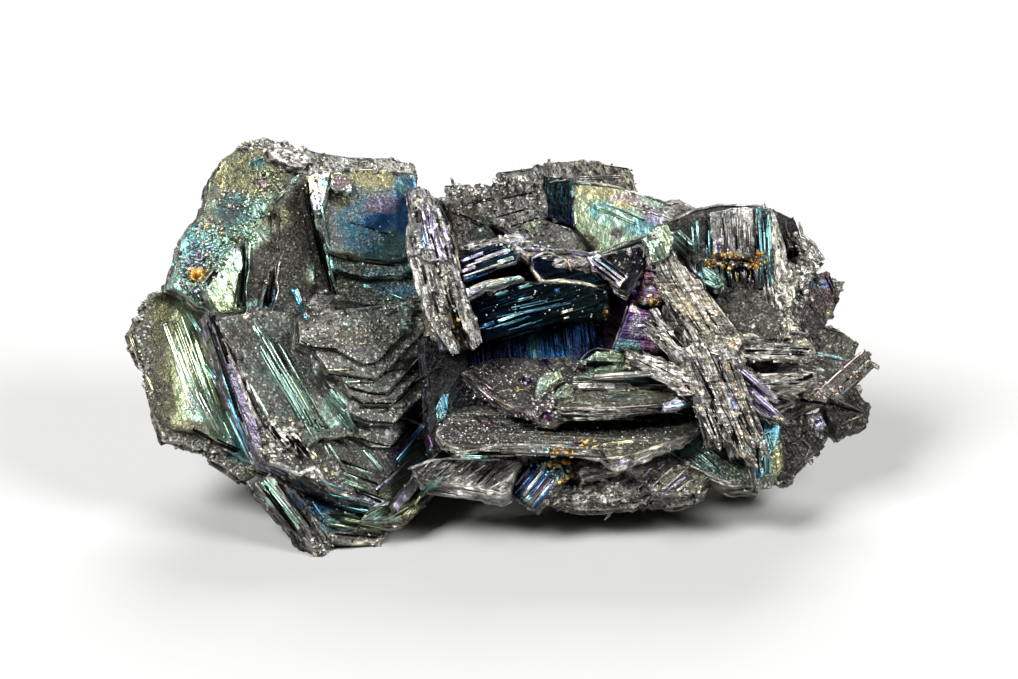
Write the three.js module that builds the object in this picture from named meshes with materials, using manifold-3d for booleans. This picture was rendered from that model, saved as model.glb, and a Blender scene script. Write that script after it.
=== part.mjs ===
// Polybasite specimen: a cluster of intergrown tabular crystals, about 60 mm across, that rests on
// its flat broken underside. Millimetres, +Z up, origin in the middle of the underside.
//
// The crystals are laid out on a drafting sheet that leans back against the cluster's show side.
// A place on the sheet is [across, down] in squares, and depth is counted in squares out of it.
import * as THREE from "three";
import { mergeVertices } from "three/addons/utils/BufferGeometryUtils.js";
import Module from "manifold-3d";

// Driving dimensions.
const CLUSTER_WIDTH = 60; // mm, the widest reach of the crystals
const SQUARES_ACROSS = 75.2; // squares of the sheet in that reach
const SQUARE = CLUSTER_WIDTH / SQUARES_ACROSS; // mm
const SHEET_TILT = 65; // degrees that the sheet is turned up from level
const SHEET_CENTRE = [50.6, 34.5]; // across and down of the point that the sheet turns about
const UNDERSIDE_DROP = 17.2; // squares from that point straight down to the underside
const UNDERSIDE_BACK = 3; // squares from that point back to the middle of the underside
const FINEST_STEP = 0.03; // mm, the smallest ledge that is kept

const wasm = await Module();
wasm.setup();

// Across, down and depth on the sheet, as a vector with x right, y up and z out of the sheet.
function sheetPoint(across, down, depth) {
  return new THREE.Vector3(across - SHEET_CENTRE[0], SHEET_CENTRE[1] - down, depth);
}

// From the sheet's squares to millimetres in the part's own frame.
function sheetToPart() {
  const matrix = new THREE.Matrix4().makeTranslation(0, -UNDERSIDE_BACK * SQUARE, UNDERSIDE_DROP * SQUARE);
  matrix.multiply(new THREE.Matrix4().makeRotationX(THREE.MathUtils.degToRad(SHEET_TILT)));
  return matrix.multiply(new THREE.Matrix4().makeScale(SQUARE, SQUARE, SQUARE));
}

const TO_PART = sheetToPart();

// A closed geometry as a manifold solid.
function solidOf(geometry) {
  const bare = geometry.index ? geometry.toNonIndexed() : geometry.clone();
  bare.deleteAttribute("normal");
  bare.deleteAttribute("uv");
  const merged = mergeVertices(bare, 1e-4);
  const vertProperties = merged.attributes.position.array;
  const triVerts = new Uint32Array(merged.index.array);
  return new wasm.Manifold(new wasm.Mesh({ numProp: 3, vertProperties, triVerts }));
}

// A flat crystal: the outline corners lie on its top face, and its body goes down from there.
function crystal(corners, facing, thick) {
  const up = new THREE.Vector3(...facing).normalize();
  const side = new THREE.Vector3(0, 0, 1).cross(up);
  if (side.length() < 0.05) side.set(1, 0, 0);
  side.addScaledVector(up, -side.dot(up)).normalize();
  const fore = new THREE.Vector3().crossVectors(up, side);
  const middle = new THREE.Vector3();
  corners.forEach((corner) => middle.addScaledVector(corner, 1 / corners.length));
  const outline = corners.map((corner) => {
    const reach = corner.clone().sub(middle);
    return new THREE.Vector2(reach.dot(side), reach.dot(fore));
  });
  const geometry = new THREE.ExtrudeGeometry(new THREE.Shape(outline), { depth: thick, bevelEnabled: false });
  const basis = new THREE.Matrix4().makeBasis(side, fore, up);
  basis.setPosition(middle.addScaledVector(up, -thick));
  return solidOf(geometry.applyMatrix4(basis).applyMatrix4(TO_PART));
}

// Slides outline points along one axis (0 x, 1 y, 2 z) on to the plane through their middle.
function ontoPlane(points, facing, axis, level) {
  const middle = new THREE.Vector3();
  points.forEach((point) => middle.addScaledVector(point, 1 / points.length));
  middle.setComponent(axis, level);
  return points.map((point) => {
    const away = point.clone().sub(middle).setComponent(axis, 0);
    const slide = away.dot(new THREE.Vector3(...facing)) / facing[axis];
    return point.clone().setComponent(axis, level - slide);
  });
}

// A crystal outlined as seen from the front: rim is [across, down], level is its middle's depth.
function front(level, facing, thick, rim) {
  const points = rim.map(([across, down]) => sheetPoint(across, down, 0));
  return crystal(ontoPlane(points, facing, 2, level), facing, thick);
}

// A shelf outlined as seen from above: rim is [across, depth], level is its middle's down.
function plan(level, facing, thick, rim) {
  const points = rim.map(([across, depth]) => sheetPoint(across, 0, depth));
  return crystal(ontoPlane(points, facing, 1, SHEET_CENTRE[1] - level), facing, thick);
}

// A blade outlined as seen from the side: rim is [down, depth], level is its middle's across.
function side(level, facing, thick, rim) {
  const points = rim.map(([down, depth]) => sheetPoint(0, down, depth));
  return crystal(ontoPlane(points, facing, 0, level - SHEET_CENTRE[0]), facing, thick);
}

// A plate seen on its edge. The path is the edge that faces the viewer, and the plate goes back
// from it, leaning sideways by the lean.
function blade(path, back, thick, lean = [0, 0]) {
  const edge = path.map(([across, down, depth]) => sheetPoint(across, down, depth));
  const along = edge[edge.length - 1].clone().sub(edge[0]);
  const inward = new THREE.Vector3(lean[0], lean[1], -1).multiplyScalar(back);
  const facing = new THREE.Vector3().crossVectors(along, inward).normalize();
  const middle = edge[0].clone().add(edge[edge.length - 1]).multiplyScalar(0.5);
  const flat = edge.map((point) => point.addScaledVector(facing, -point.clone().sub(middle).dot(facing)));
  const far = [flat[flat.length - 1].clone().add(inward), flat[0].clone().add(inward)];
  return crystal([...flat, ...far], [facing.x, facing.y, facing.z], thick);
}

// A six-sided plate about a centre [across, down, depth]. Its sides stand at 60 degrees, and
// its corners reach out by turns to the long and the short reach, as on a tabular crystal.
function hexagon(centre, facing, thick, reach, spin, shorter) {
  const up = new THREE.Vector3(...facing).normalize();
  const first = new THREE.Vector3(0, 1, 0.1).cross(up).normalize();
  const second = new THREE.Vector3().crossVectors(up, first);
  const corners = [0, 1, 2, 3, 4, 5].map((i) => {
    const angle = THREE.MathUtils.degToRad(spin + 60 * i);
    const out = i % 2 ? reach * shorter : reach;
    const corner = sheetPoint(...centre).addScaledVector(first, out * Math.cos(angle));
    return corner.addScaledVector(second, out * Math.sin(angle));
  });
  return crystal(corners, facing, thick);
}

// A lump of massive sulphide: a ball drawn out to its three radii and dented by slow waves.
function lump(centre, radii, phase) {
  const geometry = new THREE.IcosahedronGeometry(1, 3);
  const position = geometry.attributes.position;
  const point = new THREE.Vector3();
  for (let i = 0; i < position.count; i++) {
    point.fromBufferAttribute(position, i);
    const waves = Math.sin(5 * point.x + phase) + Math.sin(6 * point.y - phase) + Math.sin(7 * point.z);
    point.multiplyScalar(1 + 0.05 * waves);
    position.setXYZ(i, point.x * radii[0], point.y * radii[1], point.z * radii[2]);
  }
  const at = sheetPoint(...centre);
  return solidOf(geometry.translate(at.x, at.y, at.z).applyMatrix4(TO_PART));
}

// The broad wing at the far left: two plates, the lower one showing past the upper one's edge.
function leftWing() {
  return [
    front(1.2, [0.38, 0.3, 0.87], 1.1, [[13.6, 33], [15.6, 29.9], [17.8, 28.6], [20.6, 29.6], [22.4, 33.5],
      [25.2, 44.4], [22.8, 44], [21.3, 43.3], [20.6, 41.9], [16.9, 42], [15.3, 38]]),
    front(0.1, [0.38, 0.3, 0.87], 1.6, [[12.9, 33.2], [15.2, 29.6], [17, 28.6], [21, 29], [27, 47.2],
      [24.2, 47.9], [22, 46.4], [19.2, 44.6], [16.6, 44], [15.9, 42.6], [14.6, 38]]),
  ];
}

// The terraced plate in the bowl: a thick base and six steps, each smaller than the one below.
function terraces() {
  const facing = [0.45, 0.4, 0.8];
  return [
    front(1, facing, 3.1, [[20.8, 31.2], [24, 30.5], [33, 31], [43.5, 34], [44.5, 40.5], [44.2, 44.8],
      [39.9, 51], [33.5, 48.6], [30.2, 47.2], [27.2, 45.6], [26, 43.8], [23.3, 37.8]]),
    front(1.9, facing, 1.2, [[21.8, 31.8], [27, 31], [43, 33], [44.6, 38.6], [39.2, 44.5], [35.5, 43.6],
      [32.5, 43.8], [31, 44.4], [29, 44.4], [26.5, 41], [23.5, 35.8]]),
    front(-0.4, facing, 1.4, [[31.5, 33], [43, 33], [44.4, 36.6], [42, 39.5], [39.6, 42.2], [36, 41.8],
      [34.2, 40.6], [32, 37]]),
    front(0.1, facing, 1.6, [[31, 32.5], [43, 32], [44.2, 35.2], [39.3, 40.4], [37, 40.2], [35, 39],
      [32.5, 35.8]]),
    front(0.7, facing, 1.6, [[30.5, 32], [42.5, 31], [43.3, 34.6], [38.8, 39.2], [36, 38.8], [34.2, 38.4],
      [31.5, 34.8]]),
    front(1.5, facing, 1.8, [[30, 31.8], [42, 30.5], [42.4, 33], [37.6, 37.6], [33, 37.2], [31.2, 34.4]]),
    front(2.2, facing, 2, [[30, 31.5], [41.5, 30], [41, 32.8], [38, 36.2], [36.5, 36.4], [33, 34.8],
      [30.6, 34.2]]),
  ];
}

// The plates under the terraces, down to the left tip that the cluster stands on.
function keel() {
  return [
    front(4.2, [0.5, 0.3, 0.81], 2.6, [[27.2, 47], [29.5, 48.3], [33.8, 54.3], [32.4, 55.7], [30.8, 53.9],
      [26.2, 48]]),
    front(0.4, [0.3, 0.5, 0.81], 2.4, [[25, 45.5], [44.5, 44], [44.3, 48], [41.6, 51.2], [40, 51.8],
      [38.4, 53.8], [37.6, 54.5], [35, 54.2], [33.2, 54], [29.5, 48.6]]),
    front(-1.6, [0.25, 0.5, 0.83], 2, [[36, 52], [41, 44], [44.6, 38.5], [47.5, 36], [47, 42], [45, 47.4],
      [40.6, 52]]),
    blade([[39.6, 51, 0], [42.4, 49.4, -0.6], [45, 47.4, -1.6]], 6, 0.5, [-0.2, 0.2]),
  ];
}

// The wall behind the bowl, leaning back up to the broken crust along the top left.
function upperWall() {
  return [
    front(-3.2, [0.25, 0.3, 0.92], 3.4, [[16.9, 28.9], [18.2, 24.6], [20.8, 21.2], [21, 19.6], [22, 16.2],
      [23.9, 14], [26.5, 14.5], [31.5, 16], [31.5, 25], [31, 32], [21, 31.5]]),
    front(-5.4, [0.2, 0.3, 0.93], 0.8, [[21, 19.5], [22.1, 16.2], [23.2, 15.2], [24.6, 16.6], [23.4, 20.4],
      [22, 21.2]]),
    front(1, [0.3, 0.2, 0.93], 1, [[20.5, 28.4], [21.8, 26.2], [23.5, 24.3], [24.2, 26], [23.4, 29],
      [24.2, 31.2], [21.7, 31.8], [20.8, 30]]),
    side(24.8, [0.9, 0.1, 0.42], 0.5, [[23.8, -2.4], [26, -0.6], [32.6, 0.4], [32.6, -5], [24, -6]]),
    side(27.4, [0.93, -0.15, 0.35], 0.5, [[25.4, -2.6], [28, -1.2], [32, -0.4], [32, -5], [25.6, -6]]),
    front(-3.4, [0.42, 0.1, 0.9], 2, [[27.8, 20.4], [30.3, 17.4], [32.6, 27.5], [33, 31], [31, 32],
      [27.2, 31]]),
    front(-6.8, [0.05, 0.6, 0.8], 3, [[23.8, 14], [26, 13.5], [29, 14.2], [31.5, 15], [35, 15.9],
      [39.5, 16.2], [41.6, 17], [41, 18.2], [36, 17.8], [31, 17.6], [27, 16.6], [24.2, 15.6]]),
    front(-5.6, [0.1, 0.4, 0.91], 1.2, [[26.3, 14.4], [27.6, 14.1], [30.4, 15.6], [30.3, 16.5], [29, 16.5],
      [26.9, 15.4]]),
  ];
}

// The blocky plate to the right of the groove, its stepped foot and the bowl's floor.
function bowlBlock() {
  return [
    front(-2.6, [0.16, 0.16, 0.97], 3.4, [[30.9, 17.6], [33, 17], [37, 16.7], [41.6, 17.2], [42, 24.5],
      [40, 26.2], [32.8, 25.2], [31.7, 21.6]]),
    front(-3, [0.1, 0.25, 0.96], 3, [[32, 24], [41.8, 24.2], [41.4, 26.8], [40, 27.6], [33.2, 27.2]]),
    front(-3.5, [0.1, 0.3, 0.95], 3, [[32.4, 26], [42, 26], [42.6, 30], [38, 30.6], [33.4, 30]]),
    front(-1.6, [-0.4, 0.2, 0.89], 1, [[30.4, 17.9], [31.8, 17.1], [33, 17.2], [32.6, 19.3], [31.9, 21.4],
      [31.2, 21.4], [30.6, 19.6]]),
    front(-2.2, [0.2, 0.6, 0.77], 2.4, [[24.5, 30.6], [33, 29.2], [42.5, 29], [44, 32.4], [42, 34],
      [31, 34.8], [25, 33.2]]),
  ];
}

// The upright blade in the middle, a thick book of plates seen on its edge and split at the foot.
function uprightBlade() {
  return [
    blade([[41.2, 18.6, 2.6], [40.9, 24, 5.6], [42.4, 30, 6.6], [45.2, 35.4, 5.8]], 12, 1.7, [0.1, 0]),
    blade([[42.8, 17.4, 2.8], [42.4, 23, 5.2], [44.2, 29.6, 6], [45.4, 33, 5]], 12, 1.7, [0.1, 0]),
    blade([[44.2, 18.4, 2], [44.6, 23, 4.6], [46.2, 30, 6.2], [48.2, 34.6, 5.6]], 12, 1.9, [0.1, 0]),
  ];
}

// The fan of shelves right of the blade. Their undersides face out over the deep blue hollow.
function centreFan() {
  return [
    plan(25.2, [0.02, 0.95, -0.3], 1, [[45.4, 1.2], [47, 2.6], [52.6, 5.2], [57, 4.4], [62.4, 2.6],
      [62, -3], [50, -6], [45.4, -4]]),
    plan(26.4, [0.04, 0.94, -0.3], 0.8, [[45.8, 2], [52.8, 5.4], [54.6, 2], [54, -4], [46, -4]]),
    plan(28.2, [0, 0.95, -0.28], 0.5, [[46.2, 2.4], [53.4, 5.8], [59.8, 4], [60, -4], [46.4, -4]]),
    plan(29.8, [0, 0.94, -0.32], 1.8, [[46.8, 2.6], [53.8, 5.2], [60.6, 3.4], [62, -4], [47, -4]]),
    front(4.6, [0.3, 0.5, 0.81], 0.7, [[58.8, 25.9], [59.8, 25.7], [62.8, 27.8], [61.8, 28.9]]),
    front(4.6, [-0.3, -0.1, 0.95], 0.5, [[51.6, 24.2], [52.4, 24], [54.3, 27.4], [53.6, 27.9]]),
  ];
}

// The deep blue hollow and the dark facets on both sides of it.
function hollow() {
  return [
    front(-0.6, [0.05, 0.2, 0.98], 4, [[46.2, 32], [50, 31], [57, 30], [61.5, 29.5], [62.5, 33], [62, 36],
      [57, 38], [47, 38]]),
    front(1.8, [-0.45, 0.1, 0.89], 3, [[61.6, 27], [65.8, 25.6], [66.4, 30], [64.6, 34], [61.6, 35.4],
      [60.8, 31.5]]),
    front(3.4, [-0.25, 0.05, 0.97], 2.4, [[62.9, 30.6], [65.2, 31.2], [67.8, 34.6], [66, 35.6],
      [61.6, 35.6]]),
    front(2.8, [-0.1, 0.5, 0.86], 1.4, [[60.2, 25.3], [63, 23.9], [65.4, 24], [65.6, 26], [63.2, 27.8],
      [61.4, 26.6]]),
    front(4.6, [0, 0.3, 0.95], 1.4, [[64.2, 24], [66.6, 22.9], [67.2, 24.5], [66.2, 25.6], [64.7, 25.7]]),
    front(-1.2, [0.4, 0.35, 0.85], 2.4, [[43.8, 35.6], [48.4, 35.2], [49, 40], [46.6, 42.8], [43.4, 46],
      [43.4, 40]]),
    front(0.6, [0.5, 0.2, 0.84], 0.8, [[44, 39.4], [45.4, 39.2], [45, 42.2], [43.9, 43.6], [43.2, 45.4],
      [43.6, 41.4]]),
  ];
}

// The ridge along the back of the middle, with one broad pale plate.
function backRidge() {
  return [
    front(-7.6, [-0.1, 0.3, 0.95], 4, [[44, 18.2], [49, 18.3], [49.8, 17.2], [53.5, 16.9], [55, 16.6],
      [55, 21.5], [52.5, 23.8], [49.5, 22.8], [44.6, 22]]),
    front(-4, [-0.05, 0.4, 0.91], 3, [[50.6, 22.6], [54, 21.6], [57.4, 22.8], [58.8, 24.6], [58, 26.2],
      [54, 26], [51, 24.6]]),
    front(-6.4, [-0.5, 0.1, 0.86], 2, [[54.4, 17.4], [57.4, 17.6], [57.6, 23], [54.2, 21.8]]),
    front(-6.2, [0.15, 0.25, 0.96], 2.6, [[57.2, 17.9], [61, 18.2], [63.5, 18.9], [66, 19.6], [69, 21],
      [67.4, 23.4], [63, 24.4], [60, 25.6], [58.8, 24], [57.4, 22.4]]),
    front(-8.6, [0.05, 0.2, 0.98], 2, [[54.6, 16.6], [58.5, 16.2], [63, 16.8], [63.7, 19], [62.8, 20],
      [55, 20]]),
    front(-4.2, [0.45, 0.15, 0.88], 2, [[44.8, 19.8], [47.6, 20.6], [49.6, 23.4], [49, 26], [45.6, 26.4]]),
  ];
}

// The splintered books that run down to the right: plates seen on their broken edges.
function splinters() {
  const edges = [
    [[65.3, 25, 4], [66.8, 29, 5.4], [69.8, 34.6, 6.8]],
    [[66.4, 24.4, 4.6], [68.4, 29, 6], [71.6, 34.4, 7.2]],
    [[67.8, 26.4, 4.8], [70.4, 31, 6.6], [74.4, 35, 7.2]],
    [[68.6, 33, 6.6], [70.2, 38, 7.7], [71.8, 44.8, 6.8]],
    [[70, 33.6, 7], [72, 39.4, 7.7], [74.2, 46.2, 6]],
    [[71.2, 34, 7.2], [73.4, 39, 7.5], [75.8, 46.4, 5.6]],
    [[72, 34.8, 7], [75, 38.4, 7], [77.8, 41.6, 6]],
    [[73, 36.4, 6.8], [75, 38, 6.8], [77.2, 40.4, 6.2]],
    [[63.6, 30.6, 4.2], [66, 33.4, 5.6], [69.4, 36.2, 6.8]],
    [[62.6, 35.2, 5.8], [66, 36.8, 7], [70.6, 38.6, 7.6]],
    [[64, 37.2, 6.2], [67, 38.6, 7], [70.4, 40.6, 7.4]],
  ];
  return edges.map((path) => blade(path, 9, 1.5, [0.12, -0.1]));
}

// The broken arms that run out to the right of the splinters, with a deep gap between them.
function sideArms() {
  return [
    blade([[71.4, 33.6, 6.6], [76, 33.8, 6.8], [80.2, 34.6, 5.4]], 8, 1.9, [0.1, 0]),
    blade([[72.4, 35.8, 7], [77, 35.4, 6.4], [81.4, 36.2, 4.8]], 8, 1.1),
    blade([[73, 37, 6.8], [77, 38.6, 6], [81.8, 37.4, 4.6]], 8, 1.5),
    plan(40, [-0.3, 0.9, 0.3], 1.2, [[73, 6.4], [76, 5.8], [79, 4.8], [79, -1], [73, -2]]),
  ];
}

// The box-shaped crystal at the top right, its ledge and the grey facet below it.
function boxCrystal() {
  return [
    front(0.8, [0.05, 0.12, 0.99], 5, [[66.6, 22.2], [69.4, 20.9], [72, 20.4], [77.4, 20.5], [78.4, 24],
      [78.6, 29.4], [72.6, 30.6], [70.8, 29], [67, 25.4]]),
    front(1.3, [0.05, 0.1, 0.99], 0.8, [[70.9, 21.6], [75.4, 20.9], [75.7, 26], [71.5, 26]]),
    front(1.9, [0.05, 0.5, 0.86], 1.4, [[69.6, 25.6], [73, 25.2], [76.8, 26.2], [76.6, 27.2], [72.5, 27.4],
      [69.8, 26.6]]),
    front(3, [-0.2, 0.3, 0.93], 1.4, [[69.6, 26.4], [72, 26.8], [72.4, 28.4], [71.6, 29.4], [69.4, 28]]),
    front(3.2, [-0.1, 0.5, 0.86], 3, [[70.8, 30.4], [74.4, 29.4], [77.4, 29], [78.2, 31.5], [77.4, 34.2],
      [74.6, 34.4], [72.4, 33.4]]),
    side(78.2, [0.95, 0.2, 0.2], 1.2, [[20.6, 0], [22, 1.6], [29, 3.2], [34, 4], [35, 2], [30, -3],
      [21, -3]]),
  ];
}

// The rough outer rim on the right, and the far fins behind it.
function rightRim() {
  return [
    front(1.6, [0.2, 0.2, 0.96], 3, [[78, 28.2], [79.4, 26.6], [80.6, 25], [82.4, 26.8], [81.2, 29],
      [81, 31.2], [80.2, 34.6], [78.4, 35], [77.4, 33.4]]),
    front(-0.8, [0.25, 0.3, 0.92], 2.6, [[77.4, 20.6], [79.4, 21.2], [80.2, 24.2], [81.5, 25.2], [83, 27.2],
      [82, 29], [79, 28], [77.6, 24]]),
    front(-3.2, [0.35, 0.1, 0.93], 2.6, [[80.6, 27.5], [83, 26.8], [83.3, 28.2], [84.7, 28.2], [84, 30],
      [82.8, 32.8], [80.6, 34], [79.6, 31]]),
    front(-6, [0.1, 0.5, 0.86], 1.6, [[78.6, 33], [83, 33], [88, 35.5], [86.2, 38.6], [83.4, 40.6],
      [78.4, 42], [77, 38]]),
    front(-4.8, [0.55, 0.5, 0.67], 0.7, [[81.4, 39.6], [86.9, 34.9], [87.8, 35.4], [82.6, 40.2]]),
    front(-5.2, [0.55, 0.5, 0.67], 0.7, [[83.4, 39.4], [87.6, 36], [88.3, 36.5], [84.4, 40]]),
    front(-4.6, [0.3, 0.3, 0.91], 2.4, [[82.8, 38.9], [84.8, 38.6], [87.4, 40.8], [87.1, 42.2],
      [84.4, 43.9], [82.9, 41.4]]),
    front(-2.6, [0.2, 0.4, 0.89], 4, [[78, 41.6], [82.6, 41], [83.2, 43.6], [81.4, 45.6], [79.4, 47.4],
      [77, 47.6]]),
  ];
}

// The glossy facets at the lower right.
function lowerRight() {
  return [
    front(4.4, [0.4, 0.1, 0.91], 3, [[73.6, 41.2], [76, 41], [78.3, 42.3], [78.1, 45], [78.2, 46.6],
      [76.6, 48.8], [75.4, 48.8], [75, 45]]),
    front(2.8, [0.05, 0.5, 0.86], 2.4, [[66.5, 44.6], [70, 42.6], [73, 44], [76.4, 48.6], [73, 48.4],
      [70.6, 47.2]]),
  ];
}

// The shelves along the front, from the knife-shaped plate down to the rough foot.
function frontShelves() {
  return [
    front(6.6, [0.05, 0.78, 0.62], 1.6, [[55.4, 40.6], [58, 38.6], [64, 38.2], [69.5, 38.9], [66.4, 40],
      [61.6, 40.8], [56.4, 40.9]]),
    front(5, [0, 0.7, 0.71], 0.5, [[57.2, 35.9], [59.4, 34.6], [61, 34.6], [64.8, 35.3], [63, 36.3],
      [58.6, 36.3]]),
    front(4.9, [0, 0.75, 0.66], 0.6, [[56, 37.6], [61, 36.3], [66, 36.2], [66, 38], [57, 38.6]]),
    front(5.8, [-0.25, 0.4, 0.88], 1.2, [[53.1, 39.6], [53.7, 37.7], [56.2, 36.9], [57.4, 39],
      [55.8, 40.6], [54, 41]]),
    front(3.8, [-0.1, 0.8, 0.59], 1.4, [[46.3, 37.2], [49, 35.8], [57, 35.2], [61, 37], [58, 39.4],
      [53, 40.8], [50.4, 40.4], [48.6, 39]]),
    front(5, [0.04, 0.88, 0.47], 1.1, [[43.6, 42.9], [46.5, 40.2], [52, 39.4], [60, 40], [68.5, 40.4],
      [70.2, 42.4], [68.5, 43.6], [62.5, 46], [60, 45], [57, 44.4], [45.8, 44.9]]),
    front(5.4, [-0.06, 0.5, 0.86], 3, [[41.2, 47.2], [43, 45.4], [46, 44.8], [52.2, 45.4], [51.6, 47.8],
      [50.6, 49], [47, 48.2], [44, 47.7]]),
    plan(46.6, [-0.42, 0.86, 0.3], 0.45, [[51.8, 6], [58.4, 7], [60, 0], [52, -2]]),
    plan(47.5, [-0.45, 0.85, 0.28], 0.45, [[51.4, 5.8], [58, 6.8], [60, 0], [52, -2]]),
    plan(48.4, [-0.45, 0.85, 0.28], 0.5, [[51.2, 5.4], [57.4, 6.4], [59, 0], [52, -2]]),
    front(3, [0.04, 0.12, 0.99], 6, [[52, 45.6], [57.5, 46], [60, 45], [68, 44.4], [71.2, 47], [71.3, 48.4],
      [70.4, 49.8], [68, 50.6], [62, 50.8], [58, 50.9], [55.5, 50.2], [53.2, 49.6]]),
    front(3.7, [0.04, 0.4, 0.92], 1.2, [[55, 47.8], [60, 47.2], [65, 47.6], [66, 49.6], [60, 50.4],
      [55.6, 49.8]]),
    front(4, [0.1, 0.45, 0.89], 1.2, [[62.4, 46.6], [67.6, 45], [70.9, 47.2], [70.2, 49], [65.6, 49.4]]),
    front(4.4, [0.1, 0.45, 0.89], 1, [[64.2, 46.8], [68, 46], [69.8, 47.6], [66.6, 48.7]]),
  ];
}

// The massive sulphide that the crystals grew from, down to the underside.
function roots() {
  return [
    lump([31, 36, -8.5], [12, 11, 7.5], 0.4),
    lump([49, 36, -9], [14, 12, 8.5], 1.9),
    lump([68, 36, -6.5], [12, 11.5, 8.5], 3.1),
    lump([34, 46, -9], [6.5, 7, 6.5], 1.2),
    lump([37, 44, -13], [11, 9.5, 8], 2.2),
    lump([48, 43, -13], [10, 10, 8], 0.3),
    lump([59, 43, -11.5], [15, 10, 8.5], 0.9),
  ];
}

// The plates on the side away from the show side. Each has one smaller growth step on it.
function farSide() {
  const plates = [
    [[24, 30, -12], [-0.45, 0.35, -0.82], 9, 10, 0.92],
    [[33, 24, -13], [-0.1, 0.6, -0.79], 10, 35, 0.85],
    [[38, 37, -17], [0.1, 0.05, -1], 10.5, 20, 0.9],
    [[28, 42, -14], [-0.45, -0.25, -0.86], 8, 0, 0.95],
    [[21.5, 38, -8], [-0.8, -0.1, -0.6], 7, 15, 0.9],
    [[48, 26, -14.5], [0.15, 0.5, -0.85], 9.5, 50, 0.88],
    [[52, 40, -18.5], [-0.2, -0.1, -0.97], 9.5, 15, 0.93],
    [[44, 48, -19], [0.1, -0.35, -0.93], 8, 40, 0.85],
    [[60, 30, -15.5], [0.2, 0.3, -0.93], 10, 5, 0.86],
    [[68, 26, -12], [0.3, 0.5, -0.81], 8.5, 40, 0.9],
    [[64, 42, -18], [0.15, -0.2, -0.97], 9, 28, 0.9],
    [[76, 35, -11], [0.55, 0.1, -0.83], 8, 12, 0.94],
    [[73, 44, -13], [0.6, -0.3, -0.74], 7.5, 33, 0.9],
  ];
  return plates.flatMap(([centre, facing, reach, spin, shorter]) => {
    const up = new THREE.Vector3(...facing).normalize();
    const step = [centre[0] + 0.7 * up.x, centre[1] - 0.7 * up.y, centre[2] + 0.7 * up.z];
    return [
      hexagon(centre, facing, 2.2, reach, spin, shorter),
      hexagon(step, facing, 1, 0.7 * reach, spin, shorter),
    ];
  });
}

// Books of plates that stand on edge along the top, behind the ridge.
function topBooks() {
  return [
    hexagon([29, 20, -10], [0.5, 0.8, -0.3], 1.6, 6, 20, 0.9),
    hexagon([37, 20.5, -10], [-0.25, 0.9, -0.35], 1.6, 6.5, 45, 0.85),
    hexagon([43, 21.5, -9.5], [0.6, 0.7, -0.35], 1.4, 5, 10, 0.9),
    hexagon([50, 23, -9], [-0.15, 0.85, 0.5], 1.6, 6, 30, 0.9),
    hexagon([57, 25, -9], [0.4, 0.85, 0.3], 1.4, 5.5, 5, 0.9),
    hexagon([64, 25.5, -7.5], [-0.35, 0.9, -0.2], 1.6, 6, 25, 0.85),
    hexagon([72, 24, -7], [0.3, 0.9, -0.3], 1.6, 6, 50, 0.9),
    hexagon([78, 29, -7], [0.75, 0.6, -0.2], 1.4, 5.5, 15, 0.9),
  ];
}

// Everything below the underside, so that the cluster has a flat face to rest on.
function belowUnderside() {
  const reach = 2 * CLUSTER_WIDTH;
  return solidOf(new THREE.BoxGeometry(reach, reach, reach).translate(0, 0, -reach / 2));
}

function cluster() {
  const crystals = [leftWing, terraces, keel, upperWall, bowlBlock, uprightBlade, centreFan, hollow,
    backRidge, splinters, sideArms, boxCrystal, rightRim, lowerRight, frontShelves, roots, farSide, topBooks];
  const grown = wasm.Manifold.union(crystals.flatMap((make) => make()));
  const cut = outerSkin(grown.subtract(belowUnderside()));
  return outerSkin(cut.asOriginal().simplify(FINEST_STEP));
}

// The solid within the outermost skin, with every pocket that crystals have closed off filled.
function outerSkin(solid) {
  const skins = solid.decompose();
  skins.sort((a, b) => b.volume() - a.volume());
  return skins[0];
}

// A manifold solid as a three.js mesh.
function meshOf(name, solid, material) {
  const { vertProperties, triVerts } = solid.getMesh();
  const geometry = new THREE.BufferGeometry();
  geometry.setAttribute("position", new THREE.BufferAttribute(vertProperties, 3));
  geometry.setIndex(new THREE.BufferAttribute(triVerts, 1));
  geometry.computeVertexNormals();
  const mesh = new THREE.Mesh(geometry, material);
  mesh.name = name;
  return mesh;
}

const tarnished = new THREE.MeshStandardMaterial({ color: 0x5b5c58, roughness: 0.45, metalness: 0.9 });

const specimen = new THREE.Group();
specimen.add(meshOf("polybasite_cluster", cluster(), tarnished));

export default specimen;
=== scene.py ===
"""A polybasite specimen: a cluster of intergrown tabular crystals with broken edges and a tarnished skin.

The crystals are laid out on a drafting sheet that leans back against the cluster's show side. A place on
the sheet is (across, down) in squares, and depth is counted in squares out of it towards the viewer.
Each group keeps its skins, plates, tints and growths as tables of words. Numbers joined by commas are one
place, direction or pair, and a bar stands before the places of an outline or of lines.
"""

import logging
from dataclasses import dataclass, field
from enum import Enum, IntEnum
from functools import partial

import bpy
import numpy as np
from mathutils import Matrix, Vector
from mathutils.bvhtree import BVHTree

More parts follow.
